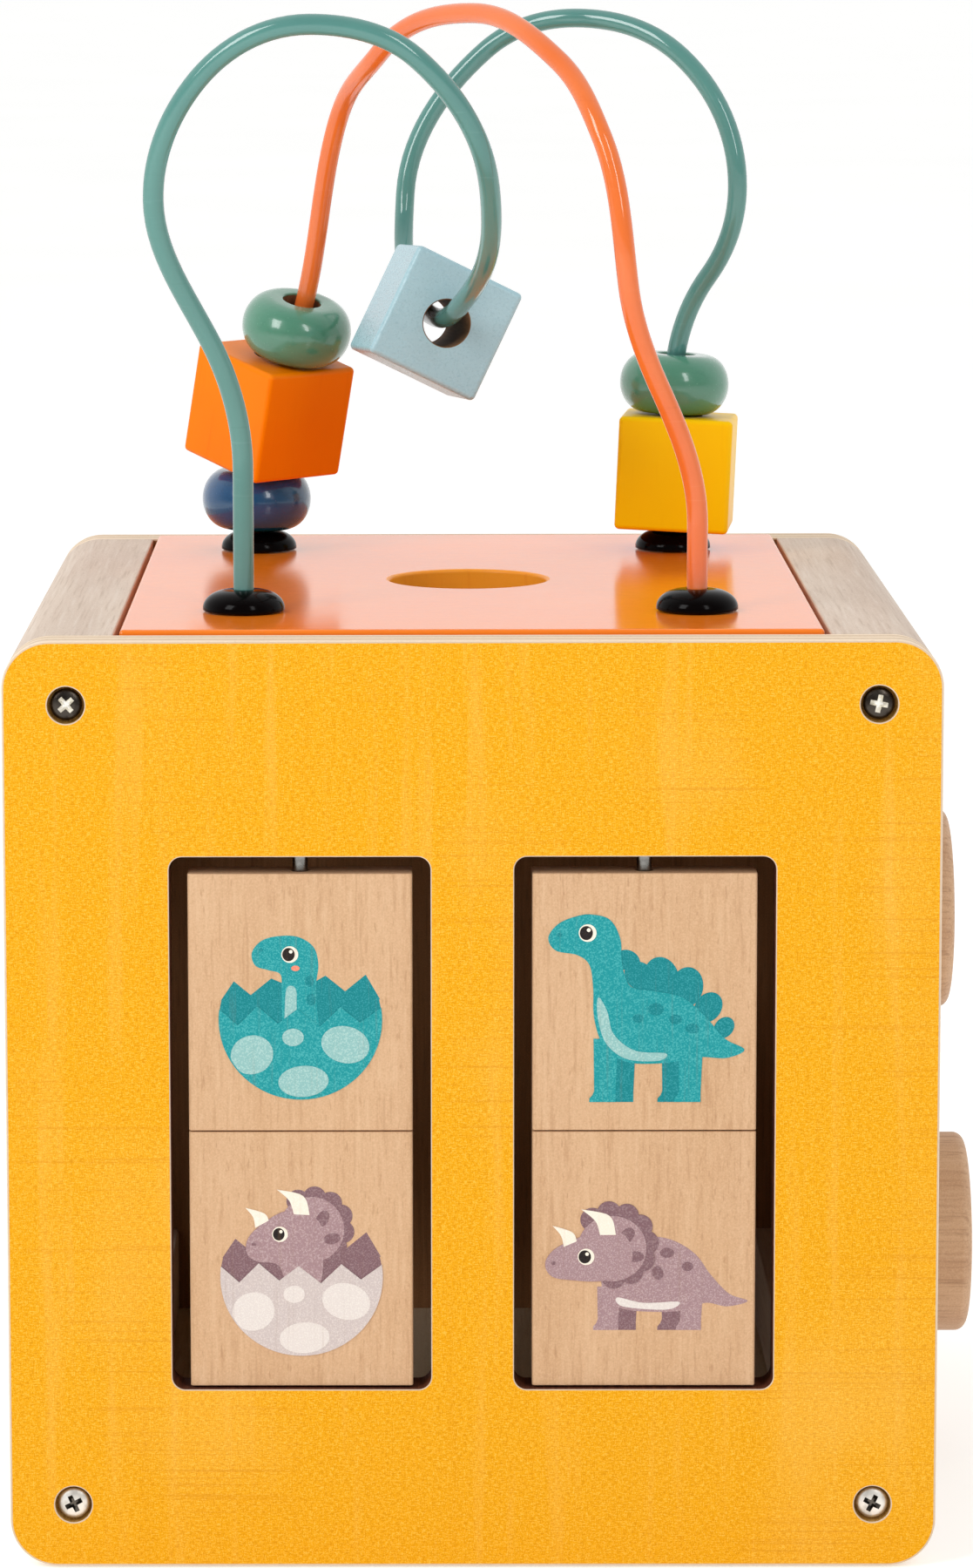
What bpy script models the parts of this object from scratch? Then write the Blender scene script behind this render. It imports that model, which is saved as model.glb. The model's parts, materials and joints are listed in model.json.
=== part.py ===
# Wooden baby activity cube with a bead maze on top.
# Frame: metres, +Z up, origin at the middle of the base, picture windows facing -Y.
import math

import bmesh
import bpy
from mathutils import Matrix, Vector

# ---- driving dimensions -------------------------------------------------
CUBE_W = 0.200
CUBE_D = 0.200
CUBE_H = 0.202
GAP = 0.0003

PANEL_T = 0.010
CORNER_R = 0.0103
CORNER_STEPS = 5

RAIL_FACE = 0.0233
REBATE_DEPTH = 0.0083
REBATE_LEDGE = 0.005
SIDE_T = 0.008
SLOT = 0.0013
END_SLOT = 0.0005

TOP_T = 0.009
TOP_PROUD = 0.001
TOP_HOLE_R = 0.018

SCREW_INSET = 0.0137
SCREW_HEAD_R = 0.0034
SCREW_HEAD_T = 0.0018
SCREW_SHANK_R = 0.0018
SCREW_SHANK_L = 0.027
COUNTERBORE_R = 0.0042
COUNTERBORE_DEPTH = 0.0026

WINDOW_X = 0.0368
WINDOW_W = 0.0558
WINDOW_LOW = 0.0392
WINDOW_TOP = 0.1556
WINDOW_CORNER_R = 0.0028
TILE_W = 0.048
TILE_H = 0.0558
TILE_T = 0.009
TILE_EDGE = 0.0010
TILE_SEAM = 0.0005
ROD_R = 0.0016
ROD_Y = -0.0942
ROD_SOCKET_LOW = 0.006
ROD_SOCKET_TOP = 0.015

WIRE_R = 0.0023
WIRE_FIT = 0.0003
POST_X = 0.0497
POST_Y = 0.058
CAP_R = 0.009
CAP_H = 0.0046
WASHER_R = 0.007
WASHER_T = 0.0012
NUT_FLATS = 0.008
NUT_T = 0.004
WIRE_TAIL = 0.0015

CUBE_BEAD = 0.027
CUBE_BEAD_EDGE = 0.0013
CUBE_BEAD_HOLE_R = 0.0054
BEAD_R = 0.0130
BEAD_T = 0.0142
BEAD_FLAT_R = 0.0072
BEAD_HOLE_R = 0.0045

DISC_R = 0.023
DISC_EDGE = 0.0025
DISC_BORE_R = 0.0029
DISC_SINK_R = 0.0062
DISC_SINK_DEPTH = 0.0034
BOLT_R = 0.0025
BOLT_HEAD_R = 0.0052
BOLT_HEAD_T = 0.0028
SPACER_R = 0.007
SPACER_T = 0.0016

RETRIEVAL_Y = 0.100
RETRIEVAL_Z = 0.058
RETRIEVAL_MID_Z = 0.066
RETRIEVAL_R = 0.014

# The dip that the light blue cube hangs in: one arc in a near upright plane.
DIP_LOW = Vector((-0.0074, 0.0117, 0.2623))
DIP_HEADING = Vector((-0.19, 0.982, 0.0)).normalized()
DIP_R = 0.090
DIP_HALF_ANGLE = math.radians(18)

# The first bend above the right back post, leaning away from the post.
BEND_START_Z = 0.242
BEND_HEADING = Vector((0.8, -0.6, 0.0))
BEND_R = 0.042
BEND_ANGLE = math.radians(40)

PLATE_TOP = CUBE_H + TOP_PROUD
PLATE_BASE = PLATE_TOP - TOP_T
WIRE_END_Z = PLATE_BASE - WASHER_T - NUT_T - 2 * GAP - WIRE_TAIL
UP = Vector((0.0, 0.0, 1.0))


# ---- general helpers ----------------------------------------------------
def clear_scene():
    for old in list(bpy.data.objects):
        bpy.data.objects.remove(old, do_unlink=True)


def make_material(name, colour, roughness, metallic=0.0):
    material = bpy.data.materials.new(name)
    material.use_nodes = True
    shader = material.node_tree.nodes["Principled BSDF"]
    shader.inputs["Base Color"].default_value = (*colour, 1.0)
    shader.inputs["Roughness"].default_value = roughness
    shader.inputs["Metallic"].default_value = metallic
    material.diffuse_color = (*colour, 1.0)
    return material


def add_object(name, data, material=None):
    item = bpy.data.objects.new(name, data)
    bpy.context.scene.collection.objects.link(item)
    if material:
        data.materials.append(material)
    return item


def mesh_from(bm, name, smooth=False):
    bmesh.ops.recalc_face_normals(bm, faces=bm.faces[:])
    mesh = bpy.data.meshes.new(name)
    bm.to_mesh(mesh)
    bm.free()
    if smooth:
        mesh.shade_smooth()
        mesh.set_sharp_from_angle(angle=math.radians(35))
    return mesh


def add_cutter(name, bm):
    cutter = add_object("cut_" + name, mesh_from(bm, "cut_" + name))
    cutter.hide_render = True
    cutter.display_type = "WIRE"
    return cutter


def cut_with(item, cutter):
    boolean = item.modifiers.new("cut", "BOOLEAN")
    boolean.operation = "DIFFERENCE"
    boolean.solver = "EXACT"
    boolean.object = cutter


def soften(item, width, segments=2):
    bevel = item.modifiers.new("edges", "BEVEL")
    bevel.width = width
    bevel.segments = segments
    bevel.limit_method = "ANGLE"
    bevel.angle_limit = math.radians(40)


def rounded_outline(width, height, radius, steps=CORNER_STEPS):
    """Outline of a rounded rectangle round the origin, anticlockwise."""
    points = []
    for quarter in range(4):
        side_u = (1, -1, -1, 1)[quarter]
        side_v = (1, 1, -1, -1)[quarter]
        mid_u = side_u * (width / 2 - radius)
        mid_v = side_v * (height / 2 - radius)
        for step in range(steps + 1):
            angle = math.pi / 2 * (quarter + step / steps)
            points.append((mid_u + radius * math.cos(angle), mid_v + radius * math.sin(angle)))
    return points


def add_prism(bm, corners, reach):
    """Close the corner points with a face and extrude it along reach."""
    face = bm.faces.new([bm.verts.new(corner) for corner in corners])
    top = bmesh.ops.extrude_face_region(bm, geom=[face])
    moved = [part for part in top["geom"] if isinstance(part, bmesh.types.BMVert)]
    bmesh.ops.translate(bm, verts=moved, vec=reach)


def add_box(bm, low, high):
    corners = [(low[0], low[1], low[2]), (high[0], low[1], low[2]),
               (high[0], high[1], low[2]), (low[0], high[1], low[2])]
    add_prism(bm, corners, (0, 0, high[2] - low[2]))


def add_rod(bm, start, end, radius, sides):
    """A plain cylinder from start to end."""
    start = Vector(start)
    axis = Vector(end) - start
    turn = UP.rotation_difference(axis).to_matrix().to_4x4()
    place = Matrix.Translation(start + axis / 2) @ turn
    bmesh.ops.create_cone(bm, cap_ends=True, segments=sides, radius1=radius, radius2=radius,
                          depth=axis.length, matrix=place)


def turned_mesh(name, profile, sides):
    """Turn a profile of (radius, height) points round Z.

    A profile that starts and ends on the axis gives a solid piece, any other
    is closed into a ring.
    """
    bm = bmesh.new()
    solid = profile[0][0] == 0.0
    verts = [bm.verts.new((radius, 0.0, height)) for radius, height in profile]
    edges = [bm.edges.new(pair) for pair in zip(verts, verts[1:])]
    if not solid:
        edges.append(bm.edges.new((verts[-1], verts[0])))
    bmesh.ops.spin(bm, geom=verts + edges, cent=(0, 0, 0), axis=(0, 0, 1),
                   angle=math.tau, steps=sides, use_merge=True)
    bmesh.ops.remove_doubles(bm, verts=bm.verts[:], dist=1e-6)
    return mesh_from(bm, name, smooth=True)


def arc_profile(mid_r, mid_z, radius, start_deg, end_deg, steps):
    points = []
    for step in range(steps + 1):
        angle = math.radians(start_deg + (end_deg - start_deg) * step / steps)
        points.append((mid_r + radius * math.cos(angle), mid_z + radius * math.sin(angle)))
    return points


def aim(axis):
    """Rotation that turns a piece's own +Z towards axis."""
    return UP.rotation_difference(Vector(axis)).to_euler()


# ---- the box ------------------------------------------------------------
def screw_places():
    places = {}
    for height, z in (("top", CUBE_H - SCREW_INSET), ("bottom", SCREW_INSET)):
        for side, x in (("left", -CUBE_W / 2 + SCREW_INSET), ("right", CUBE_W / 2 - SCREW_INSET)):
            places[height + "_" + side] = (x, z)
    return places


def make_panel(name, face_y, inward, material):
    """Front or back panel: face_y is its outer face, inward is +1 or -1 along Y."""
    bm = bmesh.new()
    outline = rounded_outline(CUBE_W, CUBE_H, CORNER_R)
    corners = [(u, face_y, v + CUBE_H / 2) for u, v in outline]
    add_prism(bm, corners, (0, inward * PANEL_T, 0))
    panel = add_object(name, mesh_from(bm, name), material)

    holes = bmesh.new()
    sinks = bmesh.new()
    outside = face_y - inward * 0.002
    inside = face_y + inward * (PANEL_T + 0.002)
    floor = face_y + inward * COUNTERBORE_DEPTH
    for x, z in screw_places().values():
        add_rod(holes, (x, outside, z), (x, inside, z), SCREW_SHANK_R + 0.0004, 12)
        add_rod(sinks, (x, outside, z), (x, floor, z), COUNTERBORE_R, 18)
    cut_with(panel, add_cutter(name + "_holes", holes))
    cut_with(panel, add_cutter(name + "_sinks", sinks))
    return panel


def cut_windows(panel):
    windows = bmesh.new()
    sockets = bmesh.new()
    mid_z = (WINDOW_LOW + WINDOW_TOP) / 2
    outline = rounded_outline(WINDOW_W, WINDOW_TOP - WINDOW_LOW, WINDOW_CORNER_R, 4)
    for side in (-1, 1):
        corners = [(side * WINDOW_X + u, -CUBE_D / 2 - 0.002, mid_z + v) for u, v in outline]
        add_prism(windows, corners, (0, PANEL_T + 0.004, 0))
        add_rod(sockets, (side * WINDOW_X, ROD_Y, WINDOW_LOW - ROD_SOCKET_LOW),
                (side * WINDOW_X, ROD_Y, WINDOW_TOP + ROD_SOCKET_TOP), ROD_R + GAP, 12)
    cut_with(panel, add_cutter("windows", windows))
    cut_with(panel, add_cutter("rod_sockets", sockets))


def rail_section():
    """Section of the top right rail, measured inwards from its outer corner."""
    deep = RAIL_FACE + REBATE_LEDGE
    corner = []
    for step in range(CORNER_STEPS + 1):
        angle = math.pi / 2 * step / CORNER_STEPS
        corner.append((CORNER_R * (1 - math.sin(angle)), CORNER_R * (1 - math.cos(angle))))
    inner = [(0.0, RAIL_FACE), (REBATE_DEPTH, RAIL_FACE), (REBATE_DEPTH, deep), (deep, deep),
             (deep, REBATE_DEPTH), (RAIL_FACE, REBATE_DEPTH), (RAIL_FACE, 0.0)]
    return corner + inner


def make_rails(material):
    length = CUBE_D - 2 * PANEL_T - 2 * GAP
    pilot_r = SCREW_SHANK_R + GAP
    pilot_depth = SCREW_SHANK_L - (PANEL_T - COUNTERBORE_DEPTH) + 0.002
    for height, level in (("top", 1), ("bottom", -1)):
        for side, way in (("left", -1), ("right", 1)):
            name = "rail_" + height + "_" + side
            bm = bmesh.new()
            corners = []
            for inset_x, inset_z in rail_section():
                x = way * (CUBE_W / 2 - inset_x)
                z = CUBE_H / 2 + level * (CUBE_H / 2 - inset_z)
                corners.append((x, -length / 2, z))
            add_prism(bm, corners, (0, length, 0))
            rail = add_object(name, mesh_from(bm, name), material)

            pilots = bmesh.new()
            x, z = screw_places()[height + "_" + side]
            for end in (-1, 1):
                add_rod(pilots, (x, end * (length / 2 + 0.002), z),
                        (x, end * (length / 2 - pilot_depth), z), pilot_r, 12)
            cut_with(rail, add_cutter(name, pilots))


def make_side_panels(material):
    """Side panels sit in the rails' rebates, flush with the outside."""
    half_y = CUBE_D / 2 - PANEL_T - END_SLOT
    low_z = RAIL_FACE + GAP
    high_z = CUBE_H - RAIL_FACE - GAP
    sides = {}
    for side, way in (("left", -1), ("right", 1)):
        outer = way * CUBE_W / 2
        inner = way * (CUBE_W / 2 - SIDE_T)
        bm = bmesh.new()
        add_box(bm, (min(outer, inner), -half_y, low_z), (max(outer, inner), half_y, high_z))
        sides[side] = add_object(side + "_panel", mesh_from(bm, side + "_panel"), material)

    opening = bmesh.new()
    outline = rounded_outline(RETRIEVAL_Y, RETRIEVAL_Z, RETRIEVAL_R)
    corners = [(-CUBE_W / 2 - 0.002, u, RETRIEVAL_MID_Z + v) for u, v in outline]
    add_prism(opening, corners, (SIDE_T + 0.004, 0, 0))
    cut_with(sides["left"], add_cutter("retrieval", opening))

    bores = bmesh.new()
    for disc in DISCS.values():
        add_rod(bores, (CUBE_W / 2 + 0.002, 0, disc["z"]),
                (CUBE_W / 2 - SIDE_T - 0.002, 0, disc["z"]), BOLT_R + GAP, 16)
    cut_with(sides["right"], add_cutter("disc_bores", bores))


def make_flat_plates(top_material, bottom_material):
    half_x = CUBE_W / 2 - RAIL_FACE - SLOT
    half_y = CUBE_D / 2 - PANEL_T - END_SLOT
    bm = bmesh.new()
    add_box(bm, (-half_x, -half_y, PLATE_BASE), (half_x, half_y, PLATE_TOP))
    top = add_object("top_plate", mesh_from(bm, "top_plate"), top_material)
    holes = bmesh.new()
    add_rod(holes, (0, 0, PLATE_BASE - 0.002), (0, 0, PLATE_TOP + 0.002), TOP_HOLE_R, 36)
    for x, y in post_places().values():
        add_rod(holes, (x, y, PLATE_BASE - 0.002), (x, y, PLATE_TOP + 0.002),
                WIRE_R + WIRE_FIT, 12)
    cut_with(top, add_cutter("top_holes", holes))

    bm = bmesh.new()
    half_x = CUBE_W / 2 - RAIL_FACE - GAP
    add_box(bm, (-half_x, -half_y, 0), (half_x, half_y, SIDE_T))
    add_object("bottom_plate", mesh_from(bm, "bottom_plate"), bottom_material)


def screw_mesh():
    """Pan head screw with a cross recess, head facing +Z, seat at the origin."""
    crown = SCREW_HEAD_T
    profile = [(0.0, crown), (SCREW_HEAD_R * 0.55, crown * 0.94), (SCREW_HEAD_R * 0.88, crown * 0.68),
               (SCREW_HEAD_R, crown * 0.32), (SCREW_HEAD_R, 0.0), (SCREW_SHANK_R, 0.0),
               (SCREW_SHANK_R, -SCREW_SHANK_L + 0.003), (0.0, -SCREW_SHANK_L)]
    return turned_mesh("screw", profile, 12)


def cross_cutter():
    bm = bmesh.new()
    reach = SCREW_HEAD_R * 0.53
    half = 0.00045
    outline = [(reach, -half), (reach, half), (half, half), (half, reach), (-half, reach),
               (-half, half), (-reach, half), (-reach, -half), (-half, -half), (-half, -reach),
               (half, -reach), (half, -half)]
    add_prism(bm, [(u, v, SCREW_HEAD_T * 0.35) for u, v in outline], (0, 0, SCREW_HEAD_T))
    return bm


def make_screws(material):
    mesh = screw_mesh()
    mesh.materials.append(material)
    cutter = add_cutter("screw_cross", cross_cutter())
    for face, way in (("front", -1), ("back", 1)):
        for place, (x, z) in screw_places().items():
            screw = add_object("screw_" + face + "_" + place, mesh)
            seat_y = way * (CUBE_D / 2 - COUNTERBORE_DEPTH + GAP)
            screw.location = (x, seat_y, z)
            screw.rotation_euler = aim((0, way, 0))
            own_cutter = cutter.copy()
            own_cutter.name = "cut_" + screw.name
            bpy.context.scene.collection.objects.link(own_cutter)
            own_cutter.location = screw.location
            own_cutter.rotation_euler = screw.rotation_euler
            cut_with(screw, own_cutter)


# ---- picture tiles ------------------------------------------------------
def make_tiles(wood, steel):
    rod_low = WINDOW_LOW - ROD_SOCKET_LOW + GAP
    rod_top = WINDOW_TOP + ROD_SOCKET_TOP - ROD_SOCKET_LOW - GAP
    for side, way in (("left", -1), ("right", 1)):
        axis_x = way * WINDOW_X
        bm = bmesh.new()
        add_rod(bm, (0, 0, 0), (0, 0, rod_top - rod_low), ROD_R, 12)
        rod = add_object("tile_rod_" + side, mesh_from(bm, "tile_rod_" + side, smooth=True), steel)
        rod.location = (axis_x, ROD_Y, rod_low)

        low = WINDOW_LOW + TILE_SEAM
        for level in ("lower", "upper"):
            name = "tile_" + side + "_" + level
            bm = bmesh.new()
            add_box(bm, (-TILE_W / 2, -TILE_T / 2, 0), (TILE_W / 2, TILE_T / 2, TILE_H))
            tile = add_object(name, mesh_from(bm, name), wood)
            tile.location = (axis_x, ROD_Y, low)
            soften(tile, TILE_EDGE)
            bore = bmesh.new()
            add_rod(bore, (axis_x, ROD_Y, low - 0.002), (axis_x, ROD_Y, low + TILE_H + 0.002),
                    ROD_R + GAP, 12)
            cut_with(tile, add_cutter(name, bore))
            low += TILE_H + TILE_SEAM


# ---- bead maze ----------------------------------------------------------
def post_places():
    return {"front_left": (-POST_X, -POST_Y), "front_right": (POST_X, -POST_Y),
            "back_left": (-POST_X, POST_Y), "back_right": (POST_X, POST_Y)}


def millimetres(x, y, z):
    return Vector((x, y, z)) / 1000


def green_route():
    """Knots (place, heading) of the wire that carries the light blue cube."""
    front_x, front_y = post_places()["front_left"]
    back_x, back_y = post_places()["back_right"]
    run = DIP_HEADING * DIP_R * math.sin(DIP_HALF_ANGLE)
    rise = UP * DIP_R * (1 - math.cos(DIP_HALF_ANGLE))
    level = DIP_HEADING * math.cos(DIP_HALF_ANGLE)
    climb = UP * math.sin(DIP_HALF_ANGLE)
    bend_foot = Vector((back_x, back_y, BEND_START_Z))
    bend_top = (bend_foot + BEND_HEADING * BEND_R * (1 - math.cos(BEND_ANGLE))
                + UP * BEND_R * math.sin(BEND_ANGLE))
    bend_heading = -BEND_HEADING * math.sin(BEND_ANGLE) - UP * math.cos(BEND_ANGLE)
    return [
        (Vector((front_x, front_y, WIRE_END_Z)), UP),
        (Vector((front_x, front_y, 0.234)), UP),
        (millimetres(-56.2, -62.5, 262.0), Vector((-0.42, -0.24, 0.88))),
        (millimetres(-68.2, -72.0, 293.8), Vector((0.0, -0.20, 0.98))),
        (millimetres(-59.5, -78.0, 318.2), Vector((0.60, -0.15, 0.79))),
        (millimetres(-34.3, -82.0, 331.5), Vector((1.0, -0.02, 0.0))),
        (millimetres(-11.8, -82.0, 324.5), Vector((0.75, 0.12, -0.65))),
        (millimetres(0.8, -76.0, 308.0), Vector((0.38, 0.38, -0.84))),
        (millimetres(4.5, -63.0, 291.0), Vector((0.04, 0.68, -0.73))),
        (DIP_LOW - run + rise, level - climb),
        (DIP_LOW + run + rise, level + climb),
        (millimetres(-14.4, 66.0, 288.0), Vector((0.06, 0.12, 0.99))),
        (millimetres(4.8, 69.0, 322.0), Vector((0.75, -0.02, 0.66))),
        (millimetres(26.1, 63.0, 329.8), Vector((0.98, -0.20, 0.0))),
        (millimetres(51.2, 52.0, 320.7), Vector((0.70, -0.25, -0.67))),
        (millimetres(64.0, 45.0, 290.4), Vector((0.0, 0.08, -1.0))),
        (bend_top, bend_heading),
        (bend_foot, -UP),
        (Vector((back_x, back_y, WIRE_END_Z)), -UP),
    ]


def orange_route():
    """Knots (place, heading) of the single arch."""
    front_x, front_y = post_places()["front_right"]
    back_x, back_y = post_places()["back_left"]
    return [
        (Vector((front_x, front_y, WIRE_END_Z)), UP),
        (Vector((front_x, front_y, 0.222)), UP),
        (millimetres(41.0, -64.0, 252.6), Vector((-0.40, -0.25, 0.88))),
        (millimetres(34.0, -70.0, 274.9), Vector((-0.13, -0.14, 0.98))),
        (millimetres(28.4, -66.0, 306.6), Vector((-0.35, 0.32, 0.88))),
        (millimetres(19.1, -52.0, 323.0), Vector((-0.58, 0.60, 0.55))),
        (millimetres(1.4, -25.0, 332.7), Vector((-0.56, 0.83, 0.0))),
        (millimetres(-19.8, 8.0, 323.4), Vector((-0.42, 0.72, -0.55))),
        (millimetres(-30.6, 36.0, 304.8), Vector((-0.24, 0.40, -0.88))),
        (millimetres(-38.3, 48.0, 263.0), Vector((-0.24, 0.22, -0.95))),
        (Vector((back_x, back_y, 0.214)), -UP),
        (Vector((back_x, back_y, WIRE_END_Z)), -UP),
    ]


def make_wire(name, route, material):
    """A round wire through the route's knots; each stretch is close to an arc."""
    curve = bpy.data.curves.new(name, "CURVE")
    curve.dimensions = "3D"
    curve.twist_mode = "MINIMUM"
    curve.bevel_depth = WIRE_R
    curve.bevel_resolution = 2
    curve.use_fill_caps = True
    curve.resolution_u = 5
    spline = curve.splines.new("BEZIER")
    spline.bezier_points.add(len(route) - 1)
    for index, (place, heading) in enumerate(route):
        point = spline.bezier_points[index]
        point.handle_left_type = "FREE"
        point.handle_right_type = "FREE"
        point.co = place
        point.handle_left = place - heading.normalized() * handle_length(route, index - 1)
        point.handle_right = place + heading.normalized() * handle_length(route, index)
    return add_object(name, curve, material)


def handle_length(route, index):
    """Bezier handle that makes the stretch after knot index follow an arc."""
    if index < 0 or index + 1 >= len(route):
        return 0.001
    here, heading = route[index]
    there, next_heading = route[index + 1]
    turn = heading.angle(next_heading)
    return (there - here).length / 3 / math.cos(turn / 4) ** 2


def make_posts(black, steel):
    """Each wire end passes a domed cap, the top plate, a washer and a nut."""
    bore_r = WIRE_R + WIRE_FIT
    cap_profile = [(CAP_R, 0.0), (CAP_R * 0.96, CAP_H * 0.38), (CAP_R * 0.80, CAP_H * 0.74),
                   (CAP_R * 0.56, CAP_H), (bore_r, CAP_H), (bore_r, 0.0)]
    washer_profile = [(bore_r, 0.0), (WASHER_R, 0.0), (WASHER_R, WASHER_T), (bore_r, WASHER_T)]
    cap_mesh = turned_mesh("cap", cap_profile, 20)
    cap_mesh.materials.append(black)
    washer_mesh = turned_mesh("washer", washer_profile, 14)
    washer_mesh.materials.append(steel)
    for place, (x, y) in post_places().items():
        cap = add_object("post_cap_" + place, cap_mesh)
        cap.location = (x, y, PLATE_TOP + GAP)
        washer = add_object("post_washer_" + place, washer_mesh)
        washer.location = (x, y, PLATE_BASE - GAP - WASHER_T)
        nut_top = PLATE_BASE - 2 * GAP - WASHER_T
        make_nut("post_nut_" + place, (x, y, nut_top - NUT_T), (x, y, nut_top), bore_r, steel)


def make_nut(name, start, end, bore_r, material):
    bm = bmesh.new()
    add_rod(bm, start, end, NUT_FLATS / math.sqrt(3), 6)
    nut = add_object(name, mesh_from(bm, name), material)
    along = (Vector(end) - Vector(start)).normalized() * 0.002
    bore = bmesh.new()
    add_rod(bore, Vector(start) - along, Vector(end) + along, bore_r, 12)
    cut_with(nut, add_cutter(name, bore))


def bead_profile():
    """Round bead with flat ends, as a ring profile round its hole."""
    bulge = BEAD_T / 2
    side = []
    steps = 6
    for step in range(steps + 1):
        angle = math.pi * (step / steps - 0.5)
        radius = BEAD_FLAT_R + (BEAD_R - BEAD_FLAT_R) * math.cos(angle)
        side.append((radius, bulge * math.sin(angle)))
    return [(BEAD_HOLE_R, -bulge)] + side + [(BEAD_HOLE_R, bulge)]


def make_beads(paints):
    bead = turned_mesh("bead", bead_profile(), 24)
    for name, spec in ROUND_BEADS.items():
        mesh = bead.copy()
        mesh.name = name
        mesh.materials.append(paints[spec["paint"]])
        item = add_object(name, mesh)
        item.location = spec["place"]
        item.rotation_euler = aim(spec["axis"])

    for name, spec in CUBE_BEADS.items():
        half = CUBE_BEAD / 2
        bm = bmesh.new()
        add_box(bm, (-half, -half, -half), (half, half, half))
        item = add_object(name, mesh_from(bm, name), paints[spec["paint"]])
        spin = Matrix.Rotation(math.radians(spec["spin_deg"]), 4, "Z")
        lean = aim(spec["axis"]).to_matrix().to_4x4()
        item.matrix_world = Matrix.Translation(spec["place"]) @ lean @ spin
        soften(item, CUBE_BEAD_EDGE)
        reach = Vector(spec["axis"]).normalized() * CUBE_BEAD
        bore = bmesh.new()
        add_rod(bore, spec["place"] - reach, spec["place"] + reach, CUBE_BEAD_HOLE_R, 24)
        cut_with(item, add_cutter(name, bore))


# Where each bead rests: its middle, its hole's direction and, for cubes, the turn about the hole.
ROUND_BEADS = {
    "bead_blue": {"paint": "blue", "place": millimetres(-50.2, 57.7, 215.5), "axis": (0.02, -0.03, 1.0)},
    "bead_green_left": {"paint": "green", "place": millimetres(-40.2, 47.8, 257.1),
                        "axis": (0.20, -0.26, 1.0)},
    "bead_green_right": {"paint": "green", "place": millimetres(49.9, 57.9, 243.0),
                         "axis": (0.06, 0.0, 1.0)},
}
CUBE_BEADS = {
    "cube_orange": {"paint": "orange", "place": millimetres(-47.0, 54.1, 237.3),
                    "axis": (0.16, -0.19, 1.0), "spin_deg": 43.0},
    "cube_yellow": {"paint": "yellow", "place": millimetres(50.5, 57.7, 221.9),
                    "axis": (0.045, 0.01, 1.0), "spin_deg": -6.0},
    "cube_light_blue": {"paint": "light_blue", "place": DIP_LOW - UP * 0.0010,
                        "axis": UP * 0.045 - DIP_HEADING, "spin_deg": -15.5},
}


# ---- turning discs on the right side ------------------------------------
DISCS = {
    "upper": {"z": 0.1262, "thick": 0.0084},
    "lower": {"z": 0.0496, "thick": 0.0132},
}


def disc_profile(thick):
    rim_low = arc_profile(DISC_R - DISC_EDGE, DISC_EDGE, DISC_EDGE, -90, 0, 2)
    rim_top = arc_profile(DISC_R - DISC_EDGE, thick - DISC_EDGE, DISC_EDGE, 0, 90, 2)
    sink = [(DISC_SINK_R, thick), (DISC_SINK_R, thick - DISC_SINK_DEPTH),
            (DISC_BORE_R, thick - DISC_SINK_DEPTH)]
    return [(DISC_BORE_R, 0.0)] + rim_low + rim_top + sink


def bolt_profile(shank):
    dome = arc_profile(0.0, 0.0, 1.0, 90, 0, 3)
    head = [(BOLT_HEAD_R * radius, BOLT_HEAD_T * (0.3 + 0.7 * height)) for radius, height in dome]
    head[0] = (0.0, BOLT_HEAD_T)
    return head + [(BOLT_HEAD_R, 0.0), (BOLT_R, 0.0), (BOLT_R, -shank), (0.0, -shank)]


def make_discs(wood, steel):
    face_x = CUBE_W / 2
    spacer_profile = [(BOLT_R + GAP, 0.0), (SPACER_R, 0.0), (SPACER_R, SPACER_T),
                      (BOLT_R + GAP, SPACER_T)]
    for level, disc in DISCS.items():
        place_x = face_x + GAP
        spacer = add_object("disc_spacer_" + level,
                            turned_mesh("disc_spacer_" + level, spacer_profile, 14), steel)
        spacer.location = (place_x, 0, disc["z"])
        place_x += SPACER_T + GAP
        wheel = add_object("disc_" + level,
                           turned_mesh("disc_" + level, disc_profile(disc["thick"]), 30), wood)
        wheel.location = (place_x, 0, disc["z"])
        seat_x = place_x + disc["thick"] - DISC_SINK_DEPTH + GAP
        inside_x = face_x - SIDE_T - GAP
        shank = seat_x - inside_x + NUT_T + WIRE_TAIL
        bolt = add_object("disc_bolt_" + level,
                          turned_mesh("disc_bolt_" + level, bolt_profile(shank), 14), steel)
        bolt.location = (seat_x, 0, disc["z"])
        for item in (spacer, wheel, bolt):
            item.rotation_euler = aim((1, 0, 0))
        make_nut("disc_nut_" + level, (inside_x - NUT_T, 0, disc["z"]), (inside_x, 0, disc["z"]),
                 BOLT_R + GAP, steel)


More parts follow.
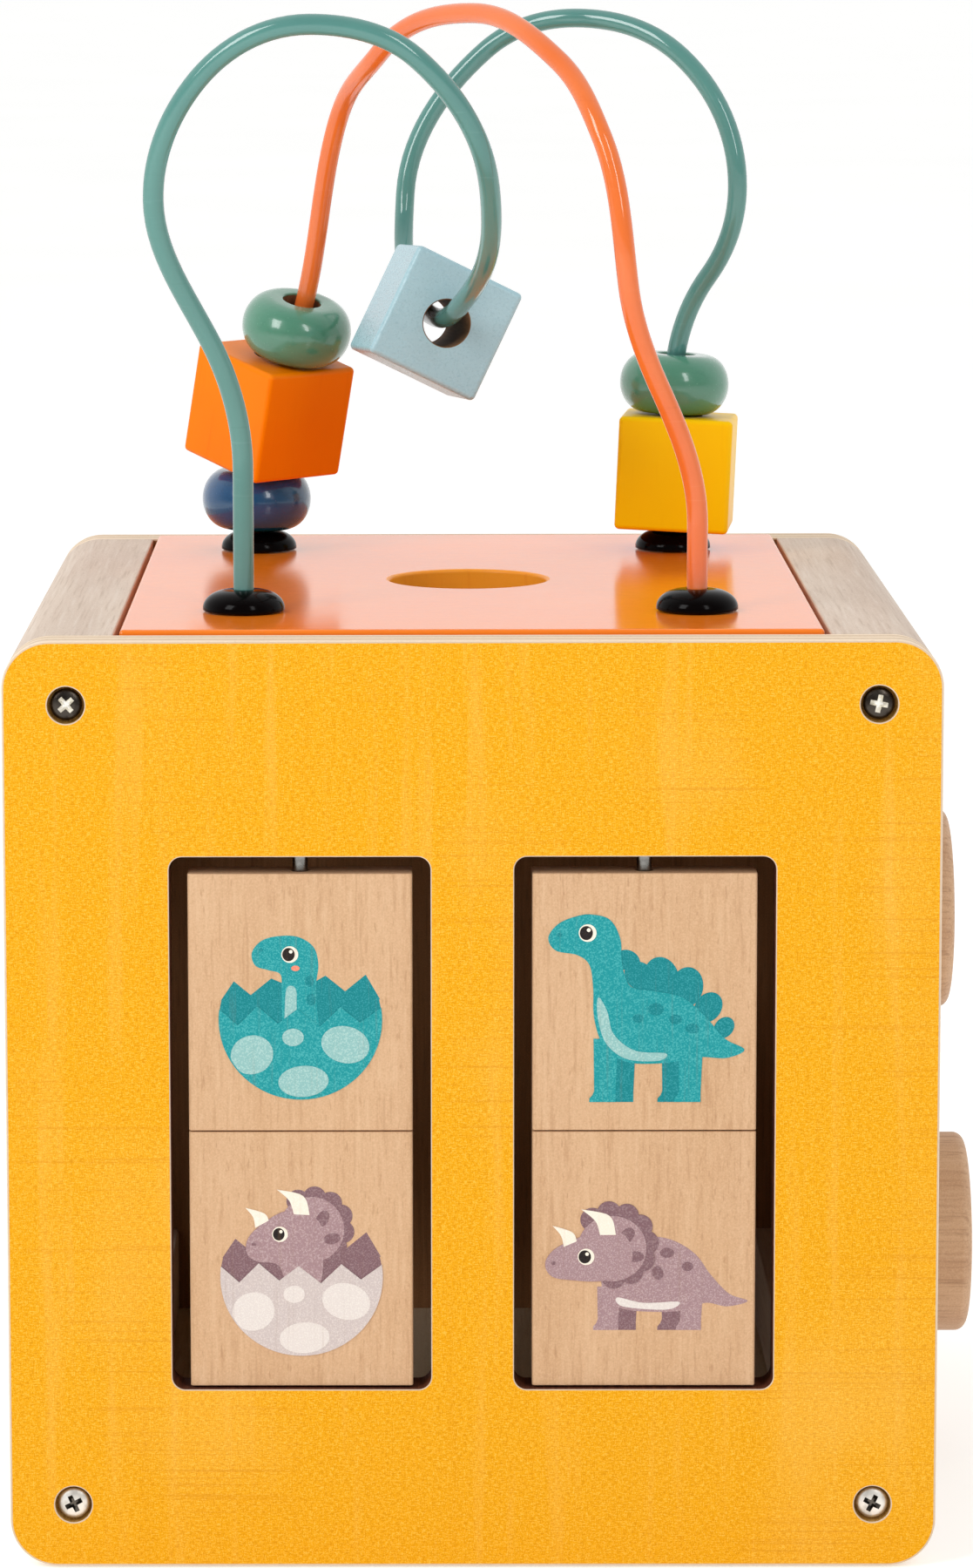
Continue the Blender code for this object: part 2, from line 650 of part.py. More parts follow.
# ---- assembly -----------------------------------------------------------
def main():
    clear_scene()
    yellow = make_material("yellow_panel", (0.90, 0.47, 0.01), 0.5)
    top_orange = make_material("orange_plate", (0.88, 0.27, 0.03), 0.3)
    birch = make_material("birch", (0.62, 0.47, 0.34), 0.6)
    beech = make_material("beech", (0.66, 0.45, 0.30), 0.55)
    steel = make_material("steel", (0.62, 0.62, 0.60), 0.3, 1.0)
    black = make_material("black_cap", (0.01, 0.01, 0.012), 0.12)
    wire_green = make_material("wire_green", (0.10, 0.24, 0.21), 0.25)
    wire_orange = make_material("wire_orange", (0.83, 0.23, 0.09), 0.25)
    paints = {
        "green": make_material("paint_green", (0.09, 0.26, 0.18), 0.3),
        "blue": make_material("paint_blue", (0.02, 0.08, 0.20), 0.3),
        "orange": make_material("paint_orange", (0.85, 0.20, 0.01), 0.3),
        "yellow": make_material("paint_yellow", (0.92, 0.52, 0.01), 0.3),
        "light_blue": make_material("paint_light_blue", (0.40, 0.62, 0.70), 0.35),
    }
    front = make_panel("front_panel", -CUBE_D / 2, 1, yellow)
    cut_windows(front)
    make_panel("back_panel", CUBE_D / 2, -1, yellow)
    make_rails(birch)
    make_side_panels(birch)
    make_flat_plates(top_orange, birch)
    make_screws(steel)
    make_tiles(beech, steel)
    make_wire("wire_green", green_route(), wire_green)
    make_wire("wire_orange", orange_route(), wire_orange)
    make_posts(black, steel)
    make_beads(paints)
    make_discs(beech, steel)


main()
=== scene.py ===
import json
import math

import bmesh
import bpy
from mathutils import Matrix, Vector


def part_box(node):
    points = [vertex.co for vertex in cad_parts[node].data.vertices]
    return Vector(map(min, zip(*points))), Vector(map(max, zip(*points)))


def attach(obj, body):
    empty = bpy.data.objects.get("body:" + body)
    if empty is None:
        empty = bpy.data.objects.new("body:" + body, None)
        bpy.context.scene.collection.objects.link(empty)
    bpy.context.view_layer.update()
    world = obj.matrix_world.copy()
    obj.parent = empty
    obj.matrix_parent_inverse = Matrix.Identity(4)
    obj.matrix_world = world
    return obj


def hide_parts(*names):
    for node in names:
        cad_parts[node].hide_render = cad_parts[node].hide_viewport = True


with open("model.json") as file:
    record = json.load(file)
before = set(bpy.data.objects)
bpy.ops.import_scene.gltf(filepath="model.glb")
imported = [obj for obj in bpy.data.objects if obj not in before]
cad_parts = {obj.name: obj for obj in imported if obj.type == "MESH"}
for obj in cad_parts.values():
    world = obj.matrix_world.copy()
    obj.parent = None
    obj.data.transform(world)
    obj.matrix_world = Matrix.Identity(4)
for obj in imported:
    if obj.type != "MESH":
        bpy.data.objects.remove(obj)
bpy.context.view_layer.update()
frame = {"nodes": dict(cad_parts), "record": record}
mm = 0.001
rootBody = "cube_body"
print("frame loaded:", len(frame["nodes"]), "solids")

# the camera comes first
cameraSetup = {
    "place": (-0.011073, -1.246967, 0.355858),
    "yaw": -0.41659, "down": 7.3494, "roll": -0.15451,   # degrees
    "lens": 125.49, "sensor": 36.0, "shift": (0.0676, -0.1089),
    "nearest": 0.01, "furthest": 50,
}


def setCamera(setup):
    yaw, down, roll = (math.radians(setup[key]) for key in ("yaw", "down", "roll"))
    ahead = Vector((math.sin(yaw) * math.cos(down), math.cos(yaw) * math.cos(down), -math.sin(down)))
    side = Vector((math.cos(yaw), -math.sin(yaw), 0))
    above = side.cross(ahead)
    right = side * math.cos(roll) + above * math.sin(roll)
    top = above * math.cos(roll) - side * math.sin(roll)
    data = bpy.data.cameras.new("camera")
    data.sensor_fit = "VERTICAL"
    data.sensor_height = setup["sensor"]
    data.lens = setup["lens"]
    data.shift_x, data.shift_y = setup["shift"]
    data.clip_start, data.clip_end = setup["nearest"], setup["furthest"]
    item = bpy.data.objects.new("camera", data)
    turn = Matrix((right, top, -ahead)).transposed().to_4x4()
    item.matrix_world = Matrix.Translation(setup["place"]) @ turn
    bpy.context.scene.collection.objects.link(item)
    bpy.context.scene.camera = item


setCamera(cameraSetup)

# studio: a white room, a pale floor and two soft boxes in front
studio = {
    "skyBehind": 1.02, "skyInFront": 0.32, "skySeen": 1.05, "skyFrom": -0.7, "skyTo": 0.35,
    "floorHalf": 60.0, "floorDrop": 0.5, "floorGlow": 0.31,
    "floorMain": "F6F6F5", "floorSecond": "F0F0EE", "floorRoughness": 0.85,
    "aimHeight": 0.20,
    "boxes": {   # turn and lift in degrees, the rest in metres and watts
        "softBoxLeft": {"turn": -44, "lift": 32, "away": 1.9, "wide": 0.60, "high": 0.95, "power": 15.0},
        "softBoxRight": {"turn": 27, "lift": 30, "away": 1.9, "wide": 0.28, "high": 0.95, "power": 6.5},
    },
}


def tint(code):
    parts = [int(code[k:k + 2], 16) / 255 for k in (0, 2, 4)]
    parts = [p / 12.92 if p <= 0.04045 else ((p + 0.055) / 1.055) ** 2.4 for p in parts]
    return (*parts, 1.0)


# a shader socket that can be used in plain sums
class Feed:
    def __init__(self, recipe, socket):
        self.recipe = recipe
        self.socket = socket

    def calc(self, operation, first, second=0.0):
        return self.recipe.node("ShaderNodeMath", {"operation": operation}, {0: first, 1: second})

    def __add__(self, other):
        return self.calc("ADD", self, other)

    def __radd__(self, other):
        return self.calc("ADD", other, self)

    def __sub__(self, other):
        return self.calc("SUBTRACT", self, other)

    def __rsub__(self, other):
        return self.calc("SUBTRACT", other, self)

    def __mul__(self, other):
        return self.calc("MULTIPLY", self, other)

    def __rmul__(self, other):
        return self.calc("MULTIPLY", other, self)

    def part(self):
        return self.calc("FRACT", self)

    def whole(self):
        return self.calc("FLOOR", self)

    def size(self):
        return self.calc("ABSOLUTE", self)


# one material, or the studio's sky, and the nodes that make it
class Recipe:
    def __init__(self, owner):
        self.material = bpy.data.materials.new(owner) if isinstance(owner, str) else owner
        self.material.use_nodes = True
        self.tree = self.material.node_tree
        self.tree.nodes.clear()
        self.place = self.node("ShaderNodeTexCoord", output="Object")

    def node(self, kind, settings=None, sockets=None, output=0):
        made = self.tree.nodes.new(kind)
        for key, value in (settings or {}).items():
            setattr(made, key, value)
        for key, value in (sockets or {}).items():
            if isinstance(value, Feed):
                self.tree.links.new(value.socket, made.inputs[key])
            else:
                made.inputs[key].default_value = value
        return Feed(self, made.outputs[output]) if len(made.outputs) else None

    # grains per metre, the same each way or one number for each axis
    def noise(self, grains, detail=2.0, rough=0.5, distort=0.0, shift=0):
        grains = grains if isinstance(grains, tuple) else (grains,) * 3
        shift = shift if isinstance(shift, tuple) else (shift,) * 3
        moved = self.node("ShaderNodeVectorMath", {"operation": "ADD"}, {0: self.place, 1: shift})
        spread = self.node("ShaderNodeVectorMath", {"operation": "MULTIPLY"}, {0: moved, 1: grains})
        return self.node("ShaderNodeTexNoise", {"noise_dimensions": "3D"},
                         {"Vector": spread, "Scale": 1.0, "Detail": detail, "Roughness": rough,
                          "Distortion": distort})

    def axis(self, letter, place=None):
        return self.node("ShaderNodeSeparateXYZ", {}, {0: place or self.place}, output=letter)

    def step(self, value, low, high):
        return self.node("ShaderNodeMapRange", {"interpolation_type": "SMOOTHSTEP", "clamp": True},
                         {"Value": value, "From Min": low, "From Max": high})

    # colours laid one over another, each by its own mask
    def layered(self, base, *layers):
        colour = tint(base)
        for mask, code in layers:
            colour = self.node("ShaderNodeMix", {"data_type": "RGBA"}, {0: mask, 6: colour, 7: tint(code)},
                               output=2)
        return colour

    def bump(self, height, depth, under=None):
        sockets = {"Height": height, "Strength": 1.0, "Distance": depth}
        if under is not None:
            sockets["Normal"] = under
        return self.node("ShaderNodeBump", {}, sockets)

    def surface(self, **sockets):
        shader = self.node("ShaderNodeBsdfPrincipled", {},
                           {key.replace("_", " "): value for key, value in sockets.items()})
        self.node("ShaderNodeOutputMaterial", {}, {"Surface": shader})
        return self.material


def makeStudio(setup):
    scene = bpy.context.scene
    scene.view_settings.view_transform = "Standard"
    scene.view_settings.look = "None"
    scene.world = bpy.data.worlds.new("studio")
    r = Recipe(scene.world)
    around = r.node("ShaderNodeTexCoord", output="Generated")
    towards = r.step(r.axis("Y", around), setup["skyFrom"], setup["skyTo"])
    glow = setup["skyInFront"] + towards * (setup["skyBehind"] - setup["skyInFront"])
    seen = r.node("ShaderNodeLightPath", output="Is Camera Ray")
    shader = r.node("ShaderNodeBackground", {}, {"Color": (1, 1, 1, 1),
                                                 "Strength": seen * setup["skySeen"] + (1 - seen) * glow})
    r.node("ShaderNodeOutputWorld", {}, {"Surface": shader})
    target = Vector((0, 0, setup["aimHeight"]))
    for name, box in setup["boxes"].items():
        data = bpy.data.lights.new(name, "AREA")
        data.shape = "RECTANGLE"
        data.size, data.size_y = box["wide"], box["high"]
        data.energy = box["power"]
        item = bpy.data.objects.new(name, data)
        turn, lift = math.radians(box["turn"]), math.radians(box["lift"])
        way = Vector((math.sin(turn) * math.cos(lift), -math.cos(turn) * math.cos(lift), math.sin(lift)))
        item.location = target + way * box["away"]
        item.rotation_euler = way.to_track_quat("Z", "Y").to_euler()
        scene.collection.objects.link(item)


makeStudio(studio)

# finishes: colours are written as hex codes, bump heights in metres
yellowPrintLook = {"main": "EFA800", "pale": "FAC650", "deep": "DC8E00", "haze": "FFD27A", "weave": 0.80,
                   "bands": 0.12, "threads": 0.45, "clouds": 0.16, "roughness": 0.50,
                   "relief": 0.00012, "gloss": 0.14}


# printed sheet on plywood: fine woven specks, faint threads and paler wood lines under the ink
def yellowPrint(look):
    r = Recipe("yellowPrint")
    across = r.noise((900, 900, 3600), rough=0.6)
    along = r.noise((3600, 900, 900), rough=0.6, shift=(3, 1, 2))
    fine = r.noise(4200, detail=1.0)
    threads = r.noise((14, 14, 1500), rough=0.6, shift=9)
    bands = r.noise((150, 20, 9), detail=3.0, rough=0.6)
    clouds = r.noise((24, 24, 14), detail=3.0, shift=5)
    weave = across * 0.40 + along * 0.26 + fine * 0.34
    colour = r.layered(
        look["main"],
        (r.step(weave, 0.50, 0.60) * look["weave"], look["pale"]),
        (r.step(weave, 0.50, 0.41) * look["weave"], look["deep"]),
        (r.step(bands, 0.52, 0.70) * look["bands"], look["haze"]),
        (r.step(bands, 0.44, 0.30) * look["bands"] * 0.7, look["deep"]),
        (r.step(threads, 0.56, 0.68) * r.step(clouds, 0.45, 0.62) * look["threads"], look["deep"]),
        (r.step(clouds, 0.50, 0.80) * look["clouds"], look["haze"]))
    return r.surface(Base_Color=colour, Roughness=look["roughness"] + (weave - 0.5) * 0.25,
                     Normal=r.bump(weave, look["relief"]), Specular_IOR_Level=look["gloss"])


# grains per metre: one number along the grain, another across it
def grainWay(letter, along, across):
    return tuple(along if axis == letter else across for axis in "XYZ")


plyLook = {"sheet": "F3DEC4", "core": "DDC3A4", "glue": "AE9070", "plies": 5, "roughness": 0.62,
           "relief": 0.00010, "gloss": 0.25}


# layers stacked from low to high along one axis, so the board's edge shows its plies
def plyEdge(name, letter, low, high, look):
    r = Recipe(name)
    layer = (r.axis(letter) + (-low)) * (look["plies"] / (high - low))
    odd = (layer.whole() * 0.5).part() * 2.0
    glue = r.step((layer.part() - 0.5).size(), 0.40, 0.49)
    strands = r.noise(grainWay(letter, 900, 60), detail=4.0, rough=0.6)
    pores = r.noise(1500)
    blotch = r.noise(30)
    colour = r.layered(
        look["sheet"], (odd, look["core"]),
        (r.step(pores, 0.52, 0.72) * (0.15 + odd * 0.35), look["glue"]),
        (glue * 0.55, look["glue"]),
        (r.step(strands, 0.5, 0.8) * 0.25, look["glue"]),
        (blotch * 0.30, look["sheet"]))
    height = pores * 0.6 - glue * 0.8 + strands * 0.3
    return r.surface(Base_Color=colour, Roughness=look["roughness"] + pores * 0.1,
                     Normal=r.bump(height, look["relief"]), Specular_IOR_Level=look["gloss"])


woodLooks = {
    "railWood": {"along": "Y", "main": "D9C5B2", "band": "CBB39F", "deep": "AC927B", "pale": "E6D8CA",
                 "fleck": 0.50, "pore": 0.30, "roughness": 0.50, "relief": 0.00006},
    "boardWood": {"along": "Y", "main": "D9C4A5", "band": "CDB592", "deep": "A98A62", "pale": "E8D8BE",
                  "fleck": 0.35, "pore": 0.30, "roughness": 0.58, "relief": 0.00008},
    # painted shade: the boards' inner faces are a darker brown than the same wood outside, for the shade inside
    # the box
    "innerWood": {"along": "Z", "main": "A8764A", "band": "96673E", "deep": "6E4626", "pale": "BC8C60",
                  "fleck": 0.45, "pore": 0.40, "roughness": 0.65, "relief": 0.00008},
    "tileWood": {"along": "Z", "main": "D2A982", "band": "CCA27A", "deep": "AE8058", "pale": "E2BE98",
                 "fleck": 0.42, "pore": 0.55, "roughness": 0.52, "relief": 0.00006, "grainRun": 90},
    "discWood": {"along": "Z", "main": "CBA380", "band": "BD9270", "deep": "93694A", "pale": "DAB796",
                 "fleck": 0.50, "pore": 0.55, "roughness": 0.48, "relief": 0.00007},
    "boreWood": {"along": "Z", "main": "7B5A3C", "band": "6A4A30", "deep": "3F2A1A", "pale": "93704E",
                 "fleck": 0.50, "pore": 0.50, "roughness": 0.75, "relief": 0.00012},
    # dark brown for the walls inside the windows, darker than the panels' outer edges
    "burntEdge": {"along": "Y", "main": "5E2C18", "band": "4C2010", "deep": "2A0E07", "pale": "8A5230",
                  "fleck": 0.50, "pore": 0.50, "roughness": 0.70, "relief": 0.00010},
    "sinkWood": {"along": "Y", "main": "B07C2C", "band": "9A6A22", "deep": "5E3E16", "pale": "E6BE70",
                 "fleck": 0.45, "pore": 0.40, "roughness": 0.60, "relief": 0.00008},
}


# plain wood with its grain along one axis: broad bands, fine dots, then flecks and pores
def bareWood(name, look):
    r = Recipe(name)
    along, run, across = look["along"], look.get("grainRun", 36), 1100
    flecks = r.noise(grainWay(along, run, across), detail=3.0, rough=0.6)
    pores = r.noise(grainWay(along, run * 3.2, across * 1.3), shift=(1, 2, 3))
    bands = r.noise(grainWay(along, 5, 90), detail=3.0, rough=0.55, distort=0.6)
    clouds = r.noise(26, shift=7)
    dots = r.noise(2800, detail=1.0, shift=(2, 4, 6))
    colour = r.layered(
        look["main"], (r.step(bands, 0.35, 0.70), look["band"]),
        (r.step(dots, 0.54, 0.68) * 0.35, look["pale"]),
        (r.step(dots, 0.46, 0.34) * 0.22, look["deep"]),
        (r.step(flecks, 0.52, 0.72) * look["fleck"], look["deep"]),
        (r.step(pores, 0.60, 0.74) * look["pore"], look["deep"]),
        (r.step(flecks, 0.48, 0.30) * 0.35, look["pale"]),
        (clouds * 0.25, look["pale"]))
    return r.surface(Base_Color=colour, Roughness=look["roughness"] + flecks * 0.12,
                     Normal=r.bump(flecks * 0.6 + pores * 0.4, look["relief"]), Specular_IOR_Level=0.30)


roundPaint = {"grain": (90, 900, 900), "show": 0.25, "roughness": 0.24, "speckRough": 0.12,
              "peel": 0.000070, "coat": 0.70, "gloss": 0.40}
cubePaint = {"grain": (700, 700, 60), "show": 0.20, "speckRough": 0.06, "relief": 0.000016,
             "peel": 0.000010, "coat": 0.0, "gloss": 0.10}
paintLooks = {
    "plateLacquer": {"main": "F77F1C", "second": "F98520", "deep": "E56A12", "pale": "FFA050",
                     "grain": (22, 800, 800), "show": 0.25, "roughness": 0.15, "speckRough": 0.05,
                     "relief": 0.000008, "peel": 0.000003, "coat": 0.0, "gloss": 0.40},
    # painted light: the wall of the top hole is a brighter orange than the plate's lacquer, for the light
    # falling into it
    "holeLacquer": {"main": "FFA42A", "second": "FF9C24", "deep": "F0861A", "pale": "FFBE5A",
                    "grain": (700, 700, 120), "show": 0.35, "roughness": 0.40, "speckRough": 0.10,
                    "relief": 0.000030, "peel": 0.000010, "coat": 0.0, "gloss": 0.30},
    "greenPaint": {**roundPaint, "main": "4E8A70", "second": "46826A", "deep": "38705A",
                   "pale": "6FA58C", "relief": 0.000035},
    "bluePaint": {**roundPaint, "main": "044A7A", "second": "04426E", "deep": "043056",
                  "pale": "246294", "relief": 0.000030},
    "orangePaint": {**cubePaint, "main": "F88200", "second": "F67800", "deep": "E26400",
                    "pale": "F8922C", "roughness": 0.34},
    "yellowPaint": {**cubePaint, "main": "FFCC00", "second": "FFC600", "deep": "F4B200",
                    "pale": "FFD83A", "roughness": 0.32},
    "lightBluePaint": {"main": "A3C6CF", "second": "9BC0CB", "deep": "86AFBD", "pale": "C9E1E6",
                       "grain": (1100, 1100, 300), "show": 0.50, "roughness": 0.30, "speckRough": 0.24,
                       "relief": 0.000130, "peel": 0.000030, "coat": 0.0, "gloss": 0.60},
}


# lacquer or paint on wood: gloss, a little orange peel and the wood's lines under it
def paintedWood(name, look):
    r = Recipe(name)
    peel = r.noise(420)
    grain = r.noise(look["grain"], detail=3.0, rough=0.6)
    specks = r.noise(1700, detail=1.0, shift=4)
    clouds = r.noise(40)
    colour = r.layered(
        look["main"], (r.step(clouds, 0.35, 0.70) * 0.5, look["second"]),
        (r.step(grain, 0.50, 0.80) * look["show"], look["deep"]),
        (r.step(specks, 0.66, 0.80) * 0.25, look["pale"]))
    rough = look["roughness"] + (peel - 0.5) * 0.10 + (specks - 0.5) * look["speckRough"]
    return r.surface(Base_Color=colour, Roughness=rough,
                     Normal=r.bump(grain, look["relief"], r.bump(peel, look["peel"])),
                     Specular_IOR_Level=look["gloss"], Coat_Weight=look["coat"], Coat_Roughness=0.08)


wireLooks = {
    "greenWireCoat": {"main": "568C84", "second": "50857E", "deep": "42726B", "pale": "80AFA8"},
    "orangeWireCoat": {"main": "EA7430", "second": "E66E2C", "deep": "D05820", "pale": "F2925E"},
}


# thick coloured coating on a wire: smooth, glossy, with faint rubbing
def wireCoat(name, look):
    r = Recipe(name)
    rub = r.noise((60, 60, 900), detail=3.0, rough=0.6)
    colour = r.layered(
        look["main"], (r.step(r.noise(45), 0.35, 0.70), look["second"]),
        (r.step(rub, 0.62, 0.82) * 0.25, look["pale"]),
        (r.step(rub, 0.40, 0.22) * 0.20, look["deep"]))
    return r.surface(Base_Color=colour, Roughness=0.08 + rub * 0.06, Specular_IOR_Level=0.65,
                     Normal=r.bump(r.noise(260), 0.000012))


def glossBlack(name, main, dusty):
    r = Recipe(name)
    wipe = r.noise(240, detail=3.0)
    dust = r.step(r.noise(1400, rough=0.7), 0.68, 0.82)
    return r.surface(Base_Color=r.layered(main, (dust * 0.3, dusty)), Roughness=0.10 + wipe * 0.08,
                     Specular_IOR_Level=0.06, Normal=r.bump(wipe, 0.000010))


steelLooks = {
    "screwSteel": {"main": "F2EFE8", "worn": "D2CEC6", "roughness": 0.34},
    # painted reflection, highlight and shade: the top screws' heads are painted dark for the dark surroundings
    # they reflect and their recesses bright for a highlight; the lower screws' recesses are painted dark for
    # the shade in them
    "darkScrewSteel": {"main": "4A443E", "worn": "2E2824", "roughness": 0.20},
    "recessSteel": {"main": "FFFCF4", "worn": "DCD8CE", "roughness": 0.30},
    "darkRecessSteel": {"main": "6A655E", "worn": "4A4640", "roughness": 0.24},
    "rodSteel": {"main": "8E8C88", "worn": "6E6C68", "roughness": 0.16},
    "fittingSteel": {"main": "B5B3AE", "worn": "94918B", "roughness": 0.30},
}


def zincSteel(name, look):
    r = Recipe(name)
    turning = r.noise(1600, detail=3.0, rough=0.6)
    stain = r.step(r.noise(420, detail=3.0), 0.40, 0.70)
    return r.surface(Base_Color=r.layered(look["main"], (stain, look["worn"])), Metallic=1.0,
                     Roughness=look["roughness"] + turning * 0.18, Normal=r.bump(turning, 0.000030))


# flat inks: the main colour and the paler one of the specks that show through
inks = {
    "teal": ("189398", "5CBFC0"), "deepTeal": ("0A8086", "3FA5AB"), "softTeal": ("8EBDBA", "BFDCD6"),
    "mauve": ("A38488", "CDB6B4"), "deepMauve": ("7E5E64", "A68E90"), "eggMauve": ("CCBEBA", "E6DCD6"),
    "softMauve": ("E2D8D2", "F2ECE4"), "cream": ("F4EAD8", "FBF4E8"), "night": ("1F1817", "3A302C"),
    "blush": ("EE8A70", "F8B49C"),
}
woodLine = "8A6A4A"   # the tile's own grain under the ink


def ink(name, look):
    r = Recipe(name)
    specks = r.noise(3000, detail=1.0, rough=0.7)
    lines = r.noise((1100, 1100, 36), detail=3.0, rough=0.6)
    main, paler = look
    colour = r.layered(main, (r.step(specks, 0.46, 0.66) * 0.55, paler),
                       (r.step(lines, 0.55, 0.75) * 0.14, woodLine))
    return r.surface(Base_Color=colour, Roughness=0.48 + specks * 0.1,
                     Normal=r.bump(lines + specks * 0.5, 0.00003), Specular_IOR_Level=0.2)


finish = {"yellowPrint": yellowPrint(yellowPrintLook),
          "glossBlack": glossBlack("glossBlack", "060303", "4A423C")}
for board, node, letter in (("front", "front_panel", "Y"), ("back", "back_panel", "Y"),
                            ("left", "left_panel", "X"), ("right", "right_panel", "X"),
                            ("bottom", "bottom_plate", "Z")):
    low, high = (getattr(corner, letter.lower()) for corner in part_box(node))
    finish[board + "Edge"] = plyEdge(board + "Edge", letter, low, high, plyLook)
for maker, looks, ending in ((bareWood, woodLooks, ""), (paintedWood, paintLooks, ""),
                             (wireCoat, wireLooks, ""), (zincSteel, steelLooks, ""), (ink, inks, "Ink")):
    for name, look in looks.items():
        finish[name + ending] = maker(name + ending, look)
print("finishes:", len(finish))


# mesh helpers
def meshFrom(name, bm):
    mesh = bpy.data.meshes.new(name)
    bm.to_mesh(mesh)
    bm.free()
    return mesh


def pieceName(label):
    first, *rest = label.split("_")
    return first + "".join(word.title() for word in rest)


# a visible piece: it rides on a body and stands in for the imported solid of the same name
def addPiece(label, bm, finishes, body=rootBody, nodes=None, matrix=None, sharp=32):
    bmesh.ops.recalc_face_normals(bm, faces=bm.faces)
    mesh = meshFrom(pieceName(label), bm)
    for name in finishes:
        mesh.materials.append(finish[name])
    mesh.shade_smooth()
    mesh.set_sharp_from_angle(angle=math.radians(sharp))
    item = bpy.data.objects.new(pieceName(label), mesh)
    bpy.context.scene.collection.objects.link(item)
    if matrix is not None:
        item.matrix_world = matrix
    weigh = item.modifiers.new("evenShading", "WEIGHTED_NORMAL")
    weigh.keep_sharp = True
    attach(item, body)
    nodes = [label] if nodes is None else nodes
    if nodes:
        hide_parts(*nodes)
    return item


def softenEdges(item, width):
    soft = item.modifiers.new("softEdge", "BEVEL")
    soft.width = width
    soft.segments = 2
    soft.angle_limit = math.radians(50)


def onCircle(radius, sides, middle=(0.0, 0.0)):
    return [(middle[0] + radius * math.cos(math.tau * k / sides),
             middle[1] + radius * math.sin(math.tau * k / sides)) for k in range(sides)]


def rectRing(width, height, radius, middle=(0.0, 0.0), steps=10):
    def ring(inset):
        halfWide, halfHigh = width / 2 - inset, height / 2 - inset
        bend = max(radius - inset, 0.01 * mm)
        points = []
        for quarter, (wayU, wayV) in enumerate(((1, 1), (-1, 1), (-1, -1), (1, -1))):
            for k in range(steps + 1):
                angle = math.pi / 2 * (quarter + k / steps)
                points.append((middle[0] + wayU * (halfWide - bend) + bend * math.cos(angle),
                               middle[1] + wayV * (halfHigh - bend) + bend * math.sin(angle)))
        return points
    return ring


def roundRing(radius, middle=(0.0, 0.0), sides=40):
    return lambda inset: onCircle(radius - inset, sides, middle)


# rows of (inset, depth) that round both edges of a board's outline off, or of a hole's
def edgeRows(thick, edgeRound, steps=4, way=1):
    angles = [math.pi / 2 * k / steps for k in range(steps + 1)]
    return ([(way * edgeRound * (1 - math.sin(a)), edgeRound * (1 - math.cos(a))) for a in angles]
            + [(way * edgeRound * (1 - math.cos(a)), thick - edgeRound * (1 - math.sin(a))) for a in angles])


def holeRows(thick, edgeRound, steps=4):
    return edgeRows(thick, edgeRound, steps, way=-1)


# a band of faces between two loops of points
def band(bm, one, two):
    return [bm.faces.new(square) for square in zip(one, one[1:] + one[:1], two[1:] + two[:1], two)]


# the band and both ends
def prism(bm, one, two):
    return [bm.faces.new(one), bm.faces.new(two[::-1])] + band(bm, one, two)


# loops are (ring, rows, slot of each row): the outline first, then every hole
# place turns (u, v, depth) into a point; slots are those of the front, the edges and the back
def plateMesh(loops, place, slots=(0, 1, 2)):
    bm = bmesh.new()
    frontEdges, backEdges = [], []
    for ring, rows, *own in loops:
        wallSlot = own[0] if own else lambda row: slots[1]
        turns = [[bm.verts.new(place(u, v, depth)) for u, v in ring(inset)] for inset, depth in rows]
        for row, (one, two) in enumerate(zip(turns, turns[1:])):
            for face in band(bm, one, two):
                face.material_index = wallSlot(row)
        for edges, turn in ((frontEdges, turns[0]), (backEdges, turns[-1])):
            edges += [bm.edges.get(pair) for pair in zip(turn, turn[1:] + turn[:1])]
    for edges, slotIndex in ((frontEdges, slots[0]), (backEdges, slots[2])):
        filled = bmesh.ops.triangle_fill(bm, use_beauty=True, use_dissolve=False, edges=edges)
        for part in filled["geom"]:
            if isinstance(part, bmesh.types.BMFace):
                part.material_index = slotIndex
    return bm


# a profile of (radius, height) turned round Z; closed into a ring unless it starts on the axis
def turnedMesh(profile, sides=48, slotOf=lambda row: 0):
    bm = bmesh.new()
    rings = [[bm.verts.new((u, v, height)) for u, v in onCircle(radius, sides if radius else 1)]
             for radius, height in profile]
    pairs = list(zip(rings, rings[1:]))
    if profile[0][0]:
        pairs.append((rings[-1], rings[0]))
    for row, (one, two) in enumerate(pairs):
        for k in range(sides):
            n = (k + 1) % sides
            square = [one[k % len(one)], one[n % len(one)], two[n % len(two)], two[k % len(two)]]
            bm.faces.new(list(dict.fromkeys(square))).material_index = slotOf(row)
    return bm


def arcPoints(middleR, middleZ, radius, startDeg, endDeg, steps=8):
    angles = [math.radians(startDeg + (endDeg - startDeg) * k / steps) for k in range(steps + 1)]
    return [(middleR + radius * math.cos(a), middleZ + radius * math.sin(a)) for a in angles]


def middleOf(node):
    low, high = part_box(node)
    return (low + high) / 2


def standOn(node):   # from the middle of the solid's underside
    low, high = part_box(node)
    return Matrix.Translation(((low.x + high.x) / 2, (low.y + high.y) / 2, low.z))


def aimedAt(axis, place, spinDeg=0.0):
    lean = Vector((0, 0, 1)).rotation_difference(Vector(axis)).to_matrix().to_4x4()
    return Matrix.Translation(place) @ lean @ Matrix.Rotation(math.radians(spinDeg), 4, "Z")


# every dictionary of parts is in millimetres, and is read in metres
def inMetres(look, *keys):
    return [look[key] * mm for key in keys]


corners = ("top_left", "top_right", "bottom_left", "bottom_right")
posts = ("front_left", "front_right", "back_left", "back_right")

# front and back panels
panelParts = {
    "cornerRadius": 10.3, "edgeRound": 0.5,
    "sinkRadius": 4.0, "sinkDepth": 2.6, "screwHole": 2.2, "sinkRound": 0.25, "floorRound": 0.4,
    "windowMiddle": 36.8, "windowWidth": 55.8, "windowLow": 39.2, "windowTop": 155.6,
    "windowCorner": 2.8, "windowRound": 0.22,
}


